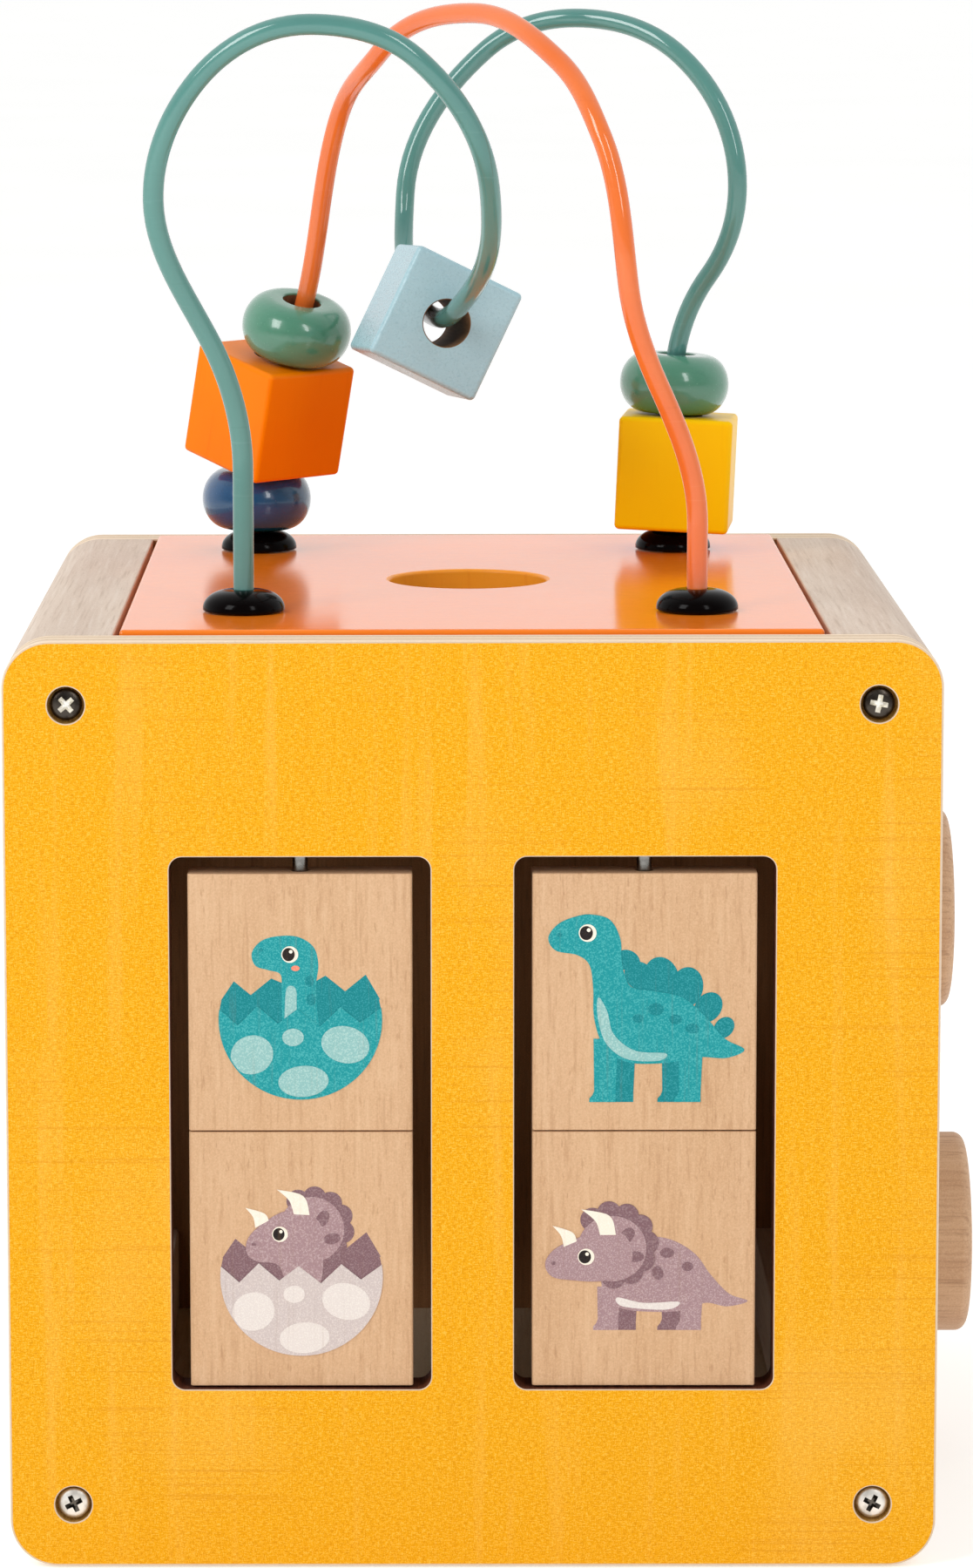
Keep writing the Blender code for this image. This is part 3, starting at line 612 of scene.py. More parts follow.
def makePanel(side, outward, look, withWindows):
    low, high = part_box(side + "_panel")
    thick = high.y - low.y
    faceY = low.y if outward < 0 else high.y
    midZ = (low.z + high.z) / 2
    corner, edge, sink, hole, depth, sinkRound, floorRound = inMetres(
        look, "cornerRadius", "edgeRound", "sinkRadius", "screwHole", "sinkDepth", "sinkRound", "floorRound")
    loops = [(rectRing(high.x - low.x, high.z - low.z, corner, steps=16), edgeRows(thick, edge))]
    for place in corners:
        spot = middleOf("screw_front_" + place)
        rows = [(-sinkRound, 0), (-sinkRound * 0.28, sinkRound * 0.28), (0, sinkRound),
                (0, depth - floorRound), (floorRound, depth), (sink - hole, depth), (sink - hole, thick)]
        loops.append((roundRing(sink, (spot.x, spot.z - midZ)), rows, lambda row: 1 if row < 2 else 4))
    if withWindows:
        middle, wide, bottom, top, bend, soft = inMetres(
            look, "windowMiddle", "windowWidth", "windowLow", "windowTop", "windowCorner", "windowRound")
        for way in (-1, 1):
            ring = rectRing(wide, top - bottom, bend, (way * middle, (top + bottom) / 2 - midZ), steps=8)
            loops.append((ring, holeRows(thick, soft), lambda row: 1 if row < 4 else 3))
    bm = plateMesh(loops, lambda u, v, depth: (u, faceY - outward * depth, v + midZ))
    # the panel's inner face takes the wood painted darker for the shade inside the box
    addPiece(side + "_panel", bm, ["yellowPrint", side + "Edge", "innerWood", "burntEdge", "sinkWood"])


makePanel("front", -1, panelParts, True)
makePanel("back", 1, panelParts, False)
print("front and back panels")

# rails along the four long edges, with a step that the side panels sit in
railParts = {"cornerRadius": 10.3, "face": 23.3, "ledge": 5.0, "rebate": 8.3, "edge": 0.35}


def makeRails(look):
    radius, face, ledge, rebate, edge = inMetres(look, "cornerRadius", "face", "ledge", "rebate", "edge")
    deep = face + ledge
    section = [(radius * (1 - math.sin(a)), radius * (1 - math.cos(a)))
               for a in [math.pi / 2 * k / 16 for k in range(17)]]
    section += [(0.0, face), (rebate, face), (rebate, deep), (deep, deep), (deep, rebate), (face, rebate),
                (face, 0.0)]
    for place in corners:
        low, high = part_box("rail_" + place)
        wayX = -1 if place.endswith("left") else 1
        wayZ = 1 if place.startswith("top") else -1
        edgeX = low.x if wayX < 0 else high.x
        edgeZ = high.z if wayZ > 0 else low.z
        bm = bmesh.new()
        prism(bm, *[[bm.verts.new((edgeX - wayX * u, y, edgeZ - wayZ * v)) for u, v in section]
                    for y in (low.y, high.y)])
        item = addPiece("rail_" + place, bm, ["railWood"])
        softenEdges(item, edge)
        item.modifiers.move(1, 0)


makeRails(railParts)

# side panels: the left one has the opening to take things out, the right one holds the discs
sideParts = {"edge": 0.4, "openingWide": 100, "openingHigh": 58, "openingMiddle": 66,
             "openingCorner": 14, "openingRound": 2.0, "boltHole": 2.8, "boltHoleRound": 0.3}


def makeSides(look):
    edge, wide, tall, middle, bend, soft, bolt, boltRound = inMetres(
        look, "edge", "openingWide", "openingHigh", "openingMiddle", "openingCorner", "openingRound",
        "boltHole", "boltHoleRound")
    for side, way in (("left", -1), ("right", 1)):
        low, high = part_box(side + "_panel")
        thick = high.x - low.x
        faceX = low.x if way < 0 else high.x
        midZ = (low.z + high.z) / 2
        loops = [(rectRing(high.y - low.y, high.z - low.z, edge, steps=3), edgeRows(thick, edge, 3))]
        if side == "left":
            loops.append((rectRing(wide, tall, bend, (0, middle - midZ), steps=12), holeRows(thick, soft, 6)))
        else:
            for level in ("upper", "lower"):
                spot = middleOf("disc_bolt_" + level)
                loops.append((roundRing(bolt, (spot.y, spot.z - midZ), 24), holeRows(thick, boltRound, 2)))
        bm = plateMesh(loops, lambda u, v, depth: (faceX - way * depth, u, v + midZ))
        # the side's inner face takes the wood painted darker for the shade inside the box
        addPiece(side + "_panel", bm, ["boardWood", side + "Edge", "innerWood"])


makeSides(sideParts)

# top plate with the round hole, and the bottom plate
plateParts = {"corner": 0.8, "edgeRound": 0.9, "hole": 18.0, "holeRound": 0.8, "postHole": 2.6}
bottomParts = {"corner": 0.6, "edgeRound": 0.5}


def makePlate(node, look, steps, extraLoops, finishes, slots):
    low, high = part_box(node)
    corner, edge = inMetres(look, "corner", "edgeRound")
    thick = high.z - low.z
    loops = [(rectRing(high.x - low.x, high.y - low.y, corner, steps=steps), edgeRows(thick, edge, steps))]
    bm = plateMesh(loops + extraLoops(thick), lambda u, v, depth: (u, v, high.z - depth), slots)
    addPiece(node, bm, finishes)


def plateHoles(thick):
    hole, soft, bore = inMetres(plateParts, "hole", "holeRound", "postHole")
    # the hole's wall takes the lacquer painted brighter for the light falling on it
    loops = [(roundRing(hole, sides=96), holeRows(thick, soft), lambda row: 2)]
    for post in posts:
        spot = middleOf("post_cap_" + post)
        loops.append((roundRing(bore, (spot.x, spot.y), 24), [(0, 0), (0, thick)]))
    return loops


makePlate("top_plate", plateParts, 4, plateHoles, ["plateLacquer", "boardWood", "holeLacquer"],
          (0, 0, 1))
makePlate("bottom_plate", bottomParts, 3, lambda thick: [], ["boardWood", "bottomEdge", "boardWood"],
          (0, 1, 2))
print("rails, sides and plates")

# pan head screws with a cross recess
screwParts = {"head": 3.4, "crown": 1.8, "shank": 1.8, "length": 27.0, "pitch": 1.3, "tip": 6.0,
              "recess": 2.2, "slot": 0.60, "recessDepth": 1.25, "cutAbove": 0.4, "sunk": 0.06}
screwShape = {"rim": 0.42, "bulge": 0.58, "root": 0.78, "wideTop": 1.12, "narrowFoot": 0.42,
              "startTurn": 42, "nextTurn": 37}


def crossCutter(look, shape):
    bm = bmesh.new()
    reach, half, crown, above, deep = inMetres(look, "recess", "slot", "crown", "cutAbove", "recessDepth")
    outline = [(reach, -half), (reach, half), (half, half), (half, reach), (-half, reach), (-half, half),
               (-reach, half), (-reach, -half), (-half, -half), (-half, -reach), (half, -reach), (half, -half)]
    prism(bm, *[[bm.verts.new((u * spread, v * spread, z)) for u, v in outline]
                for spread, z in ((shape["wideTop"], crown + above), (shape["narrowFoot"], crown - deep))])
    return bm


def screwProfile(look, shape):
    head, crown, shank, length, pitch, tip = inMetres(look, "head", "crown", "shank", "length", "pitch", "tip")
    profile = [(head * math.sin(a), crown * (shape["rim"] + shape["bulge"] * math.cos(a)))
               for a in [math.pi / 2 * k / 9 for k in range(10)]]
    profile += [(head, crown * 0.18), (head * 0.97, 0.0), (shank, 0.0)]
    root = shank * shape["root"]
    z = -2 * mm
    while z > -length + tip:
        profile += [(root, z), (shank, z - pitch / 2)]
        z -= pitch
    return profile + [(root, z), (0.0, -length)]


# faces sunk under the dome belong to the recess
def markRecess(bm, look, shape):
    head, crown, recess, sunk = inMetres(look, "head", "crown", "recess", "sunk")
    for face in bm.faces:
        middle = face.calc_center_median()
        out = math.hypot(middle.x, middle.y)
        if out < recess * 1.15 and middle.z > 0:
            dome = crown * (shape["rim"] + shape["bulge"] * math.sqrt(max(0.0, 1 - (out / head) ** 2)))
            face.material_index = 1 if middle.z < dome - sunk else 0


def makeScrews(look, shape):
    pair = []
    for name, bm in (("screwBlank", turnedMesh(screwProfile(look, shape), 40)),
                     ("crossCutter", crossCutter(look, shape))):
        bmesh.ops.recalc_face_normals(bm, faces=bm.faces)
        pair.append(bpy.data.objects.new(name, meshFrom(name, bm)))
        bpy.context.scene.collection.objects.link(pair[-1])
    blank, cutter = pair
    cut = blank.modifiers.new("cross", "BOOLEAN")
    cut.object = cutter
    cut.solver = "EXACT"
    bpy.context.view_layer.update()
    done = bpy.data.meshes.new_from_object(blank.evaluated_get(bpy.context.evaluated_depsgraph_get()))
    for item in pair:
        bpy.data.objects.remove(item)
    for face, way in (("front", -1), ("back", 1)):
        for number, place in enumerate(corners):
            node = "screw_" + face + "_" + place
            low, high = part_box(node)
            headY = low.y if way < 0 else high.y
            seat = Vector(((low.x + high.x) / 2, headY - way * look["crown"] * mm, (low.z + high.z) / 2))
            bm = bmesh.new()
            bm.from_mesh(done)
            markRecess(bm, look, shape)
            turn = aimedAt((0, way, 0), seat, shape["startTurn"] + shape["nextTurn"] * number)
            # top screws: head painted dark as a reflection, recess painted bright as a highlight; lower screws:
            # bright head, recess painted dark as shade
            steels = (["darkScrewSteel", "recessSteel"] if place.startswith("top")
                      else ["screwSteel", "darkRecessSteel"])
            addPiece(node, bm, steels, matrix=turn)


makeScrews(screwParts, screwShape)
print("screws")

# picture tiles on their rods
tileParts = {"edgeRound": 0.28, "sideRound": 0.6, "grow": 0.1, "bore": 1.9, "boreRound": 0.2}
rodParts = {"radius": 1.6, "chamfer": 0.3}


def makeTile(node, look):
    edge, sideRound, grow, bore, boreRound = inMetres(look, "edgeRound", "sideRound", "grow", "bore",
                                                      "boreRound")
    low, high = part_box(node)
    mid = (low + high) / 2
    if node.endswith("upper"):   # the two tiles of a rod grow towards each other
        low.z -= grow
    else:
        high.z += grow
    tall = high.z - low.z
    loops = [(rectRing(high.x - low.x, high.y - low.y, sideRound, steps=5), edgeRows(tall, edge, 5)),
             (roundRing(bore, sides=24), holeRows(tall, boreRound, 2))]
    bm = plateMesh(loops, lambda u, v, depth: (mid.x + u, mid.y + v, high.z - depth), (0, 0, 0))
    addPiece(node, bm, ["tileWood"], body=node)


def makeRod(side, look):
    node = "tile_rod_" + side
    low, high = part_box(node)
    radius, cut = inMetres(look, "radius", "chamfer")
    tall = high.z - low.z
    bm = turnedMesh([(0.0, 0.0), (radius - cut, 0.0), (radius, cut), (radius, tall - cut),
                     (radius - cut, tall), (0.0, tall)], 32)
    addPiece("rod_" + side, bm, ["rodSteel"], nodes=[node], matrix=standOn(node))


for side in ("left", "right"):
    for level in ("upper", "lower"):
        makeTile("tile_" + side + "_" + level, tileParts)
    makeRod(side, rodParts)
print("tiles")


# prints: plain shapes in flat ink, in millimetres from each tile's middle
def smoothLoop(points, perSpan=7):
    # a closed line through the points; a third value of 1 keeps a corner
    out = []
    count = len(points)
    for k in range(count):
        p0, p1, p2, p3 = (points[(k + shift) % count] for shift in (-1, 0, 1, 2))
        a, b, c, d = (Vector(p[:2]) for p in (p0, p1, p2, p3))
        a = b if len(p1) > 2 else a
        d = c if len(p2) > 2 else d
        if len(p1) > 2 and len(p2) > 2:
            out.append(tuple(b))
            continue
        for t in [j / perSpan for j in range(perSpan)]:
            point = 0.5 * ((2 * b) + (c - a) * t + (2 * a - 5 * b + 4 * c - d) * t * t
                           + (3 * b - a - 3 * c + d) * t ** 3)
            out.append(tuple(point))
    return out


def oval(u, v, radiusU, radiusV, leanDeg=0, sides=36):
    lean = math.radians(leanDeg)
    out = []
    for k in range(sides):
        angle = math.tau * k / sides
        a, b = radiusU * math.cos(angle), radiusV * math.sin(angle)
        out.append((u + a * math.cos(lean) - b * math.sin(lean), v + a * math.sin(lean) + b * math.cos(lean)))
    return out


# layers of one ink
def ovals(inkName, *shapes):
    return [(inkName, oval(*shape)) for shape in shapes]


def blobs(inkName, *outlines):
    return [(inkName, smoothLoop(outline)) for outline in outlines]


def eye(u, v, size):
    return (ovals("cream", (u, v, size, size)) + ovals("night", (u - 0.15 * size, v, size * 0.74, size * 0.80))
            + ovals("cream", (u + 0.12 * size, v + 0.34 * size, size * 0.22, size * 0.22, 0, 16)))


def frillScales(u, v, radiusU, radiusV, size, count, startDeg, stepDeg):
    angles = [math.radians(startDeg - stepDeg * k) for k in range(count)]
    return ovals("deepMauve", *[(u + radiusU * math.cos(a), v + radiusV * math.sin(a), size, size)
                                for a in angles])


shell = {"wide": 17.5, "innerWide": 17.4, "high": 17.4, "middle": -3.8, "inside": 0.985}


# an egg shell's lower half under a broken rim, which runs from left to right
def bowl(wide, rim, steps=40):
    high, middle = shell["high"], shell["middle"]
    start = math.pi + math.asin(min(1, max(-1, (middle - rim[0][1]) / high)))
    end = math.tau - math.asin(min(1, max(-1, (middle - rim[-1][1]) / high)))
    angles = [start + (end - start) * k / steps for k in range(steps + 1)]
    return [(wide * math.cos(a), middle + high * math.sin(a)) for a in angles] + rim[::-1]


def insideShell(points):
    wide, high, middle, most = (shell[key] for key in ("wide", "high", "middle", "inside"))
    out = []
    for u, v in points:
        reach = math.hypot(u / wide, (v - middle) / high)
        if reach > most and v < middle + 2:
            u, v = u * most / reach, middle + (v - middle) * most / reach
        out.append((u, v))
    return out


def eggScene(shellInk, innerInk, spotInk, hatchling):
    rimBack = [(-17, 0.4), (-14.2, 4.6), (-10.6, 1.6), (-6.2, 5.2), (0, 2.6), (5.4, 5.8), (9.6, 2.4),
               (14, 6), (17.1, 0.6)]
    rimFront = [(-17.2, -1.6), (-13.4, -5), (-9.2, -0.8), (-4.8, -4.6), (-0.6, -1.4), (4.2, -5.2),
                (8.6, -1), (12.8, -4.4), (17.2, -1.2)]
    spots = [(spotInk, insideShell(oval(*shape)))
             for shape in ((-10.4, -11.4, 4.6, 4.2, 20), (9.6, -9.2, 5.2, 4, -14),
                           (0.6, -17.2, 5.4, 3.4, 4), (-1.6, -7.6, 2.3, 1.9, 0))]
    return ([(innerInk, bowl(shell["innerWide"], rimBack))] + hatchling
            + [(shellInk, bowl(shell["wide"], rimFront))] + spots)


def longNeckBaby():
    neck = [(-3.6, -9), (-3.9, -3), (-4, 2), (-4.2, 6), (-6.8, 7), (-9.6, 8), (-10.3, 10.8),
            (-8.2, 13.4), (-4.6, 14.4), (-0.4, 14.2), (2.9, 12), (3.9, 8.2), (3.4, 3.6), (3.6, -2), (3.9, -9)]
    throat = [(-3.2, -8), (-3.3, -1), (-2.8, 3.2), (-1, 3), (-0.8, -1), (-0.9, -8)]
    return (blobs("teal", neck) + blobs("softTeal", throat)
            + ovals("deepTeal", (2, 4.6, 0.9, 1.2), (2.3, 0.6, 1, 1.3), (-8.4, 11.4, 0.5, 0.35))
            + ovals("blush", (-1, 7.4, 0.9, 0.6)) + eye(-2.2, 10.4, 1.8))


def hornedBaby():
    head = [(-2.6, -6), (-5, -1.2), (-9.6, -0.4), (-11.8, 1.6), (-11.4, 4.8), (-8.2, 8), (-3.6, 10.6),
            (1.4, 10.4), (4.6, 6.8), (4.8, 1.6), (3.6, -6)]
    horns = ([(-9.9, 7, 1), (-10.4, 9.4), (-12, 11.4, 1), (-8, 10.2), (-7, 8.6, 1)],
             [(-1.6, 10, 1), (-2.6, 13), (-5.2, 15.4, 1), (0.4, 14), (1.8, 9.8, 1)])
    return (frillScales(2.4, 7.2, 6.6, 6.4, 2.5, 7, 118, 32) + ovals("mauve", (2.2, 6.6, 7, 7.2))
            + ovals("deepMauve", (4.6, 9, 1.3, 1.9, -30), (6.6, 4.6, 1.2, 1.8, -80))
            + blobs("mauve", head) + blobs("cream", *horns)
            + ovals("deepMauve", (-10.2, 3.4, 0.5, 0.35)) + eye(-4.6, 5.6, 1.7))


def legs(inkName, spots, top, low, wide):
    return [(inkName, [(u - wide, top), (u - wide * 0.94, low + 2.4), (u - wide * 1.08, low + 1.5),
                       (u - wide * 1.34, low + 0.8), (u - wide * 1.36, low), (u + wide * 0.9, low),
                       (u + wide * 0.9, low + 2), (u + wide * 1.1, top)]) for u in spots]


def longNeckAdult():
    body = [(-11.4, 19), (-7.4, 17.8), (-5.2, 13.6), (-4.8, 8), (-3, 3.4), (1.8, 2.4), (8, 1),
            (13, -3.2), (17.2, -8), (21.4, -10.4), (17.6, -12.2), (12.4, -12), (9, -12.6), (3, -13.4),
            (-4, -13), (-8.8, -9.4), (-10.8, -3.4), (-11, 3), (-11.8, 8), (-14.4, 10.2), (-19, 11.2),
            (-20.6, 14), (-18.4, 17), (-14.6, 18.6)]
    belly = [(-9.9, 1), (-8, -2), (-6.6, -7), (-2, -10.6), (4.6, -11.2), (3, -12.8), (-3.8, -12.4),
             (-8.2, -9), (-10, -3.4)]
    backPlates = [(u, v, size, size * 1.25, lean) for u, v, size, lean in
                  ((-3.6, 9, 2.2, 60), (-1, 5.6, 2.9, 50), (3.6, 5.2, 3.7, 15), (9, 3.2, 3.5, -10),
                   (13.6, -1.2, 2.8, -35), (17, -5.6, 2, -40))]
    return (ovals("deepTeal", *backPlates) + legs("deepTeal", (-4.6, 6.2), -8, -21.8, 2.5)
            + blobs("teal", body) + legs("teal", (-8.4, 9.8), -8, -21.8, 2.5) + blobs("softTeal", belly)
            + ovals("deepTeal", (2.4, -1.6, 1.7, 1.3), (6.6, -3.8, 1.3, 1), (-1.4, -3.6, 1.1, 0.9),
                    (10.2, -5.8, 1.4, 1), (-18.2, 14.6, 0.55, 0.4)) + eye(-12.2, 15, 1.9))


def hornedAdult():
    body = [(-8, 3.6), (-1, 5), (5.6, 4.4), (11, 1.2), (14.4, -3.4), (18.4, -7.6), (22.4, -9.2),
            (18, -10.4), (13.4, -9.6), (9.4, -11.2), (2.4, -11.6), (-5.4, -10.6), (-9, -6)]
    belly = [(-5.6, -8.4), (0, -9.6), (7.6, -9.4), (5, -11.1), (-4.4, -10.4)]
    head = [(-8.6, 6.6), (-4, 5.2), (-2.4, 0.6), (-4.6, -3.6), (-9.4, -4.8), (-14.8, -4.6), (-19.6, -3.8),
            (-21.2, -1), (-19.2, 2.2), (-14.4, 4.6)]
    horns = ([(-17.2, 2.8, 1), (-17.8, 5.2), (-19.6, 7.4, 1), (-15.4, 6), (-14.4, 4, 1)],
             [(-9.4, 5.4, 1), (-10.4, 8.4), (-13.4, 11, 1), (-7.4, 9.6), (-6, 5.4, 1)])
    return (legs("deepMauve", (-3.8, 6.2), -6, -15.6, 2.4) + blobs("mauve", body)
            + legs("mauve", (-7.6, 10.2), -6, -15.6, 2.4) + blobs("softMauve", belly)
            + ovals("deepMauve", (5, 1.4, 1.5, 1.1), (9.4, -1.6, 1.2, 1), (3, -3, 1.2, 1.5, 20))
            + frillScales(-6.6, 3.2, 7.2, 7, 2.6, 8, 128, 31) + ovals("mauve", (-6.8, 2.4, 7.4, 7.2))
            + ovals("deepMauve", (-3.6, 5.2, 1.4, 2, -40), (-1.8, 0.6, 1.2, 1.9, -90))
            + blobs("mauve", head) + blobs("cream", *horns)
            + ovals("deepMauve", (-19.4, -0.8, 0.5, 0.4)) + eye(-12.4, 0.6, 1.8))


printParts = {"lift": 0.02, "layer": 0.012, "sunk": 0.03}
pictures = {
    "left_upper": eggScene("teal", "deepTeal", "softTeal", longNeckBaby()),
    "left_lower": eggScene("eggMauve", "deepMauve", "softMauve", hornedBaby()),
    "right_upper": longNeckAdult(),
    "right_lower": hornedAdult(),
}


def makePrint(place, layers, look):
    lift, layer, sunk = inMetres(look, "lift", "layer", "sunk")
    low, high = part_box("tile_" + place)
    mid = (low + high) / 2
    used = list(dict.fromkeys(inkName for inkName, outline in layers))
    bm = bmesh.new()
    for number, (inkName, outline) in enumerate(layers):
        sheet = prism(bm, *[[bm.verts.new((mid.x + u * mm, y, mid.z + v * mm)) for u, v in outline]
                            for y in (low.y - lift - layer * number, low.y + sunk)])
        for face in sheet:
            face.material_index = used.index(inkName)
    bm.normal_update()
    bmesh.ops.triangulate(bm, faces=[face for face in bm.faces if len(face.verts) > 4])
    addPiece("print_" + place, bm, [inkName + "Ink" for inkName in used], body="tile_" + place,
             nodes=[], sharp=20)


for place, layers in pictures.items():
    makePrint(place, layers, printParts)
print("prints")

# wires: the routes of the two bends, in millimetres, with the way the wire points there
wireParts = {"radius": 2.26, "endRound": 0.5}
wireSides, wireSteps = 20, 14
dip = {"low": (-7.4, 11.7, 262.3), "heading": (-0.19, 0.982, 0), "radius": 90, "half": 18}
bend = {"start": 242, "heading": (0.8, -0.6, 0), "radius": 42, "turn": 40}
up = Vector((0, 0, 1))


def postFoot(post, z):
    spot = middleOf("post_cap_" + post)
    return (spot.x / mm, spot.y / mm, z)


def greenRoute():
    half, turn = math.radians(dip["half"]), math.radians(bend["turn"])
    lowPoint, ahead = Vector(dip["low"]), Vector(dip["heading"]).normalized()
    run = ahead * dip["radius"] * math.sin(half)
    rise = up * dip["radius"] * (1 - math.cos(half))
    level, climb = ahead * math.cos(half), up * math.sin(half)
    foot = Vector(postFoot("back_right", bend["start"]))
    lean = Vector(bend["heading"])
    bendTop = foot + lean * bend["radius"] * (1 - math.cos(turn)) + up * bend["radius"] * math.sin(turn)
    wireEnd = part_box("wire_green")[0].z / mm
    return [
        (postFoot("front_left", wireEnd), up), (postFoot("front_left", 234), up),
        ((-56.2, -62.5, 262), (-0.42, -0.24, 0.88)), ((-68.2, -72, 293.8), (0, -0.20, 0.98)),
        ((-59.5, -78, 318.2), (0.60, -0.15, 0.79)), ((-34.3, -82, 331.5), (1, -0.02, 0)),
        ((-11.8, -82, 324.5), (0.75, 0.12, -0.65)), ((0.8, -76, 308), (0.38, 0.38, -0.84)),
        ((4.5, -63, 291), (0.04, 0.68, -0.73)),
        (lowPoint - run + rise, level - climb), (lowPoint + run + rise, level + climb),
        ((-14.4, 66, 288), (0.06, 0.12, 0.99)), ((4.8, 69, 322), (0.75, -0.02, 0.66)),
        ((26.1, 63, 329.8), (0.98, -0.20, 0)), ((51.2, 52, 320.7), (0.70, -0.25, -0.67)),
        ((64, 45, 290.4), (0, 0.08, -1)),
        (bendTop, -lean * math.sin(turn) - up * math.cos(turn)), (foot, -up),
        (postFoot("back_right", wireEnd), -up),
    ]


def orangeRoute():
    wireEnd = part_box("wire_orange")[0].z / mm
    return [
        (postFoot("front_right", wireEnd), up), (postFoot("front_right", 222), up),
        ((41, -64, 252.6), (-0.40, -0.25, 0.88)), ((34, -70, 274.9), (-0.13, -0.14, 0.98)),
        ((28.4, -66, 306.6), (-0.35, 0.32, 0.88)), ((19.1, -52, 323), (-0.58, 0.60, 0.55)),
        ((1.4, -25, 332.7), (-0.56, 0.83, 0)), ((-19.8, 8, 323.4), (-0.42, 0.72, -0.55)),
        ((-30.6, 36, 304.8), (-0.24, 0.40, -0.88)), ((-38.3, 48, 263), (-0.24, 0.22, -0.95)),
        (postFoot("back_left", 214), -up), (postFoot("back_left", wireEnd), -up),
    ]


# round curves from knot to knot
def centreLine(route):
    points = []
    knots = [(Vector(place) * mm, Vector(way).normalized()) for place, way in route]
    for (here, way), (there, nextWay) in zip(knots, knots[1:]):
        handle = (there - here).length / 3 / math.cos(way.angle(nextWay) / 4) ** 2
        one, two = here + way * handle, there - nextWay * handle
        for t in [k / wireSteps for k in range(wireSteps)]:
            points.append((1 - t) ** 3 * here + 3 * (1 - t) ** 2 * t * one + 3 * (1 - t) * t * t * two
                          + t ** 3 * there)
    return points + [knots[-1][0]]


def makeWire(node, route, look, coat):
    points = centreLine(route)
    radius, soft = inMetres(look, "radius", "endRound")
    bm = bmesh.new()
    side = Vector((1, 0, 0))
    rings = []
    for k, point in enumerate(points):
        ahead = (points[min(k + 1, len(points) - 1)] - points[max(k - 1, 0)]).normalized()
        side = (side - ahead * side.dot(ahead)).normalized()
        other = ahead.cross(side)
        spots = [(point, radius)]
        if k == 0:
            spots = [(point, radius - soft), (point + ahead * soft, radius)]
        if k == len(points) - 1:
            spots = [(point - ahead * soft, radius), (point, radius - soft)]
        for middle, wide in spots:
            rings.append([bm.verts.new(middle + side * u + other * v) for u, v in onCircle(wide, wireSides)])
    for one, two in zip(rings, rings[1:]):
        band(bm, one, two)
    bm.faces.new(rings[0][::-1])
    bm.faces.new(rings[-1])
    addPiece(node, bm, [coat])


makeWire("wire_green", greenRoute(), wireParts, "greenWireCoat")
makeWire("wire_orange", orangeRoute(), wireParts, "orangeWireCoat")
print("wires")

# domed caps where the wires enter the plate
capParts = {"lip": 0.5, "bore": 2.45, "foot": 0.3, "footHigh": 0.2}


def makeCaps(look):
    lip, bore, foot, footHigh = inMetres(look, "lip", "bore", "foot", "footHigh")
    for post in posts:
        node = "post_cap_" + post
        low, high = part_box(node)
        wide = (high.x - low.x) / 2
        tall = high.z - low.z
        dome = [(bore + (wide - bore) * math.cos(a) ** 0.9, lip + (tall - lip) * math.sin(a))
                for a in [math.radians(4 + 82 * k / 14) for k in range(15)]]
        profile = [(bore, 0.0), (wide - foot, 0.0), (wide, footHigh), (wide, lip * 0.9)] + dome + [(bore, tall)]
        addPiece("cap_" + post, turnedMesh(profile, 64), ["glossBlack"], nodes=[node],
                 matrix=standOn(node), sharp=50)


makeCaps(capParts)

# beads: where each hole points and, for the cubes, how far it is turned about it
roundBeads = {
    "bead_blue": {"paint": "blue", "slot": "paint_blue", "axis": (0.02, -0.03, 1.0)},
    "bead_green_left": {"paint": "green", "slot": "paint_green", "axis": (0.20, -0.26, 1.0)},
    "bead_green_right": {"paint": "green", "slot": "paint_green", "axis": (0.06, 0.0, 1.0)},
}
cubeBeads = {
    "cube_orange": {"paint": "orange", "slot": "paint_orange", "axis": (0.16, -0.19, 1.0), "spin": 43.0},
    "cube_yellow": {"paint": "yellow", "slot": "paint_yellow", "axis": (0.045, 0.01, 1.0), "spin": -6.0},
    "cube_light_blue": {"paint": "lightBlue", "slot": "paint_light_blue", "axis": (0.19, -0.982, 0.045),
                        "spin": -15.5},
}
beadParts = {"radius": 13.0, "thick": 14.2, "flat": 7.2, "bore": 4.5, "lip": 0.5}
cubeParts = {"side": 27.0, "edgeRound": 1.2, "bore": 5.4, "lip": 0.25}


def roundBeadMesh(look):
    radius, thick, flat, bore, lip = inMetres(look, "radius", "thick", "flat", "bore", "lip")
    bulge = thick / 2
    side = [(flat + (radius - flat) * math.cos(a), bulge * math.sin(a))
            for a in [math.pi * (k / 24 - 0.5) for k in range(25)]]
    lowLip = [(bore, -bulge + lip), (bore + lip * 0.3, -bulge + lip * 0.3), (bore + lip, -bulge)]
    profile = lowLip + side + [(r, -z) for r, z in lowLip[::-1]]
    return turnedMesh(profile, 72, lambda row: 1 if row == len(profile) - 1 else 0)


def cubeBeadMesh(look):
    side, soft, bore, lip = inMetres(look, "side", "edgeRound", "bore", "lip")
    loops = [(rectRing(side, side, soft, steps=6), edgeRows(side, soft, 6)),
             (roundRing(bore, sides=48), holeRows(side, lip, 3), lambda row: 1)]
    return plateMesh(loops, lambda u, v, depth: (u, v, side / 2 - depth), (0, 0, 0))


for beads, meshOf, look, sharp in ((roundBeads, roundBeadMesh, beadParts, 60),
                                   (cubeBeads, cubeBeadMesh, cubeParts, 32)):
    for node, bead in beads.items():
        turn = aimedAt(bead["axis"], middleOf(node), bead.get("spin", 0.0))
        addPiece(node, meshOf(look), [bead["paint"] + "Paint", "boreWood"], body=node,
                 matrix=turn, sharp=sharp)
print("caps and beads")

# turning discs on the right side, with their bolts
discParts = {"radius": 23.0, "rim": 2.5, "bore": 2.9, "sink": 6.2, "sinkDepth": 3.4, "sinkRound": 0.4}
boltParts = {"head": 5.2, "dome": 2.8, "shank": 2.5, "socket": 1.5, "socketDepth": 1.6, "chamfer": 0.3}


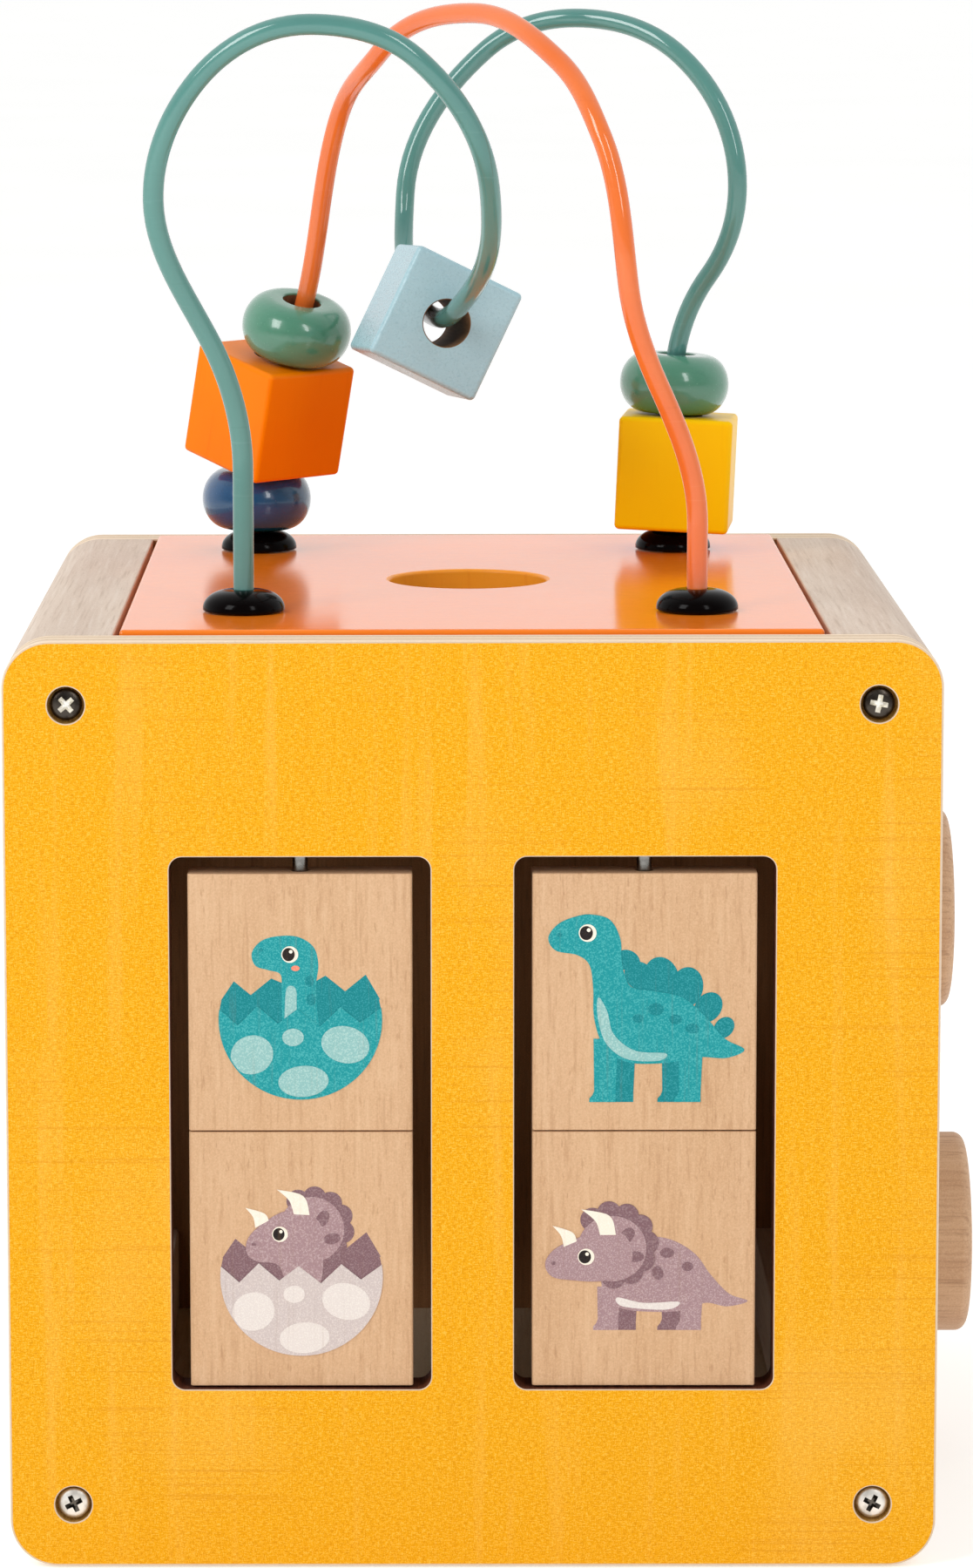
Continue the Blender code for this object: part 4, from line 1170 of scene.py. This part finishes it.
def makeDisc(level, look):
    node = "disc_" + level
    low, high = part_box(node)
    thick = high.x - low.x
    spot = Vector((low.x, (low.y + high.y) / 2, (low.z + high.z) / 2))
    radius, rim, bore, sink, deep, soft = inMetres(look, "radius", "rim", "bore", "sink", "sinkDepth",
                                                   "sinkRound")
    profile = ([(bore, 0.0)] + arcPoints(radius - rim, rim, rim, -90, 0)
               + arcPoints(radius - rim, thick - rim, rim, 0, 90)
               + [(sink + soft, thick), (sink, thick - soft), (sink, thick - deep), (bore, thick - deep)])
    addPiece(node, turnedMesh(profile, 96), ["discWood"], body=node, matrix=aimedAt((1, 0, 0), spot))


def makeBolt(level, look):
    node = "disc_bolt_" + level
    low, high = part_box(node)
    head, dome, shank, key, keyDepth, cut = inMetres(look, "head", "dome", "shank", "socket", "socketDepth",
                                                     "chamfer")
    seat = Vector((high.x - dome, (low.y + high.y) / 2, (low.z + high.z) / 2))
    crown = [(head * math.sin(a), dome * (0.3 + 0.7 * math.cos(a)))
             for a in [math.pi / 2 * k / 8 for k in range(1, 9)]]
    top = dome * (0.3 + 0.7 * math.cos(math.asin(key / head)))
    foot = low.x - seat.x
    profile = ([(0.0, dome - keyDepth), (key * 0.96, dome - keyDepth), (key, top)]
               + [point for point in crown if point[0] > key * 1.15]
               + [(head, 0.0), (shank, 0.0), (shank, foot + cut), (shank - cut, foot), (0.0, foot)])
    body = next(name for name, nodes in frame["record"]["behaviour"]["bodies"].items() if node in nodes)
    addPiece(node, turnedMesh(profile, 36), ["fittingSteel"], body=body,
             matrix=aimedAt((1, 0, 0), seat))


for level in ("upper", "lower"):
    makeDisc(level, discParts)
    makeBolt(level, boltParts)

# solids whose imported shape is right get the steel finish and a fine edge
fittingEdge = 0.2
for node, item in frame["nodes"].items():
    if "_nut_" in node or "_washer_" in node or "_spacer_" in node:
        item.data.materials.clear()
        item.data.materials.append(finish["fittingSteel"])
        softenEdges(item, fittingEdge * mm)
print("discs and fittings")


# a pale floor to stand on
def makeFloor(setup):
    r = Recipe("paleFloor")
    clouds = r.noise(3)
    material = r.surface(Base_Color=r.layered(setup["floorMain"], (clouds, setup["floorSecond"])),
                         Roughness=setup["floorRoughness"] + clouds * 0.1,
                         Emission_Color=(1, 1, 1, 1), Emission_Strength=setup["floorGlow"])
    bm = bmesh.new()
    half, z = setup["floorHalf"], -setup["floorDrop"] * mm
    bm.faces.new([bm.verts.new((x * half, y * half, z)) for x, y in ((-1, -1), (1, -1), (1, 1), (-1, 1))])
    mesh = meshFrom("floor", bm)
    mesh.materials.append(material)
    item = bpy.data.objects.new("floor", mesh)
    bpy.context.scene.collection.objects.link(item)


makeFloor(studio)
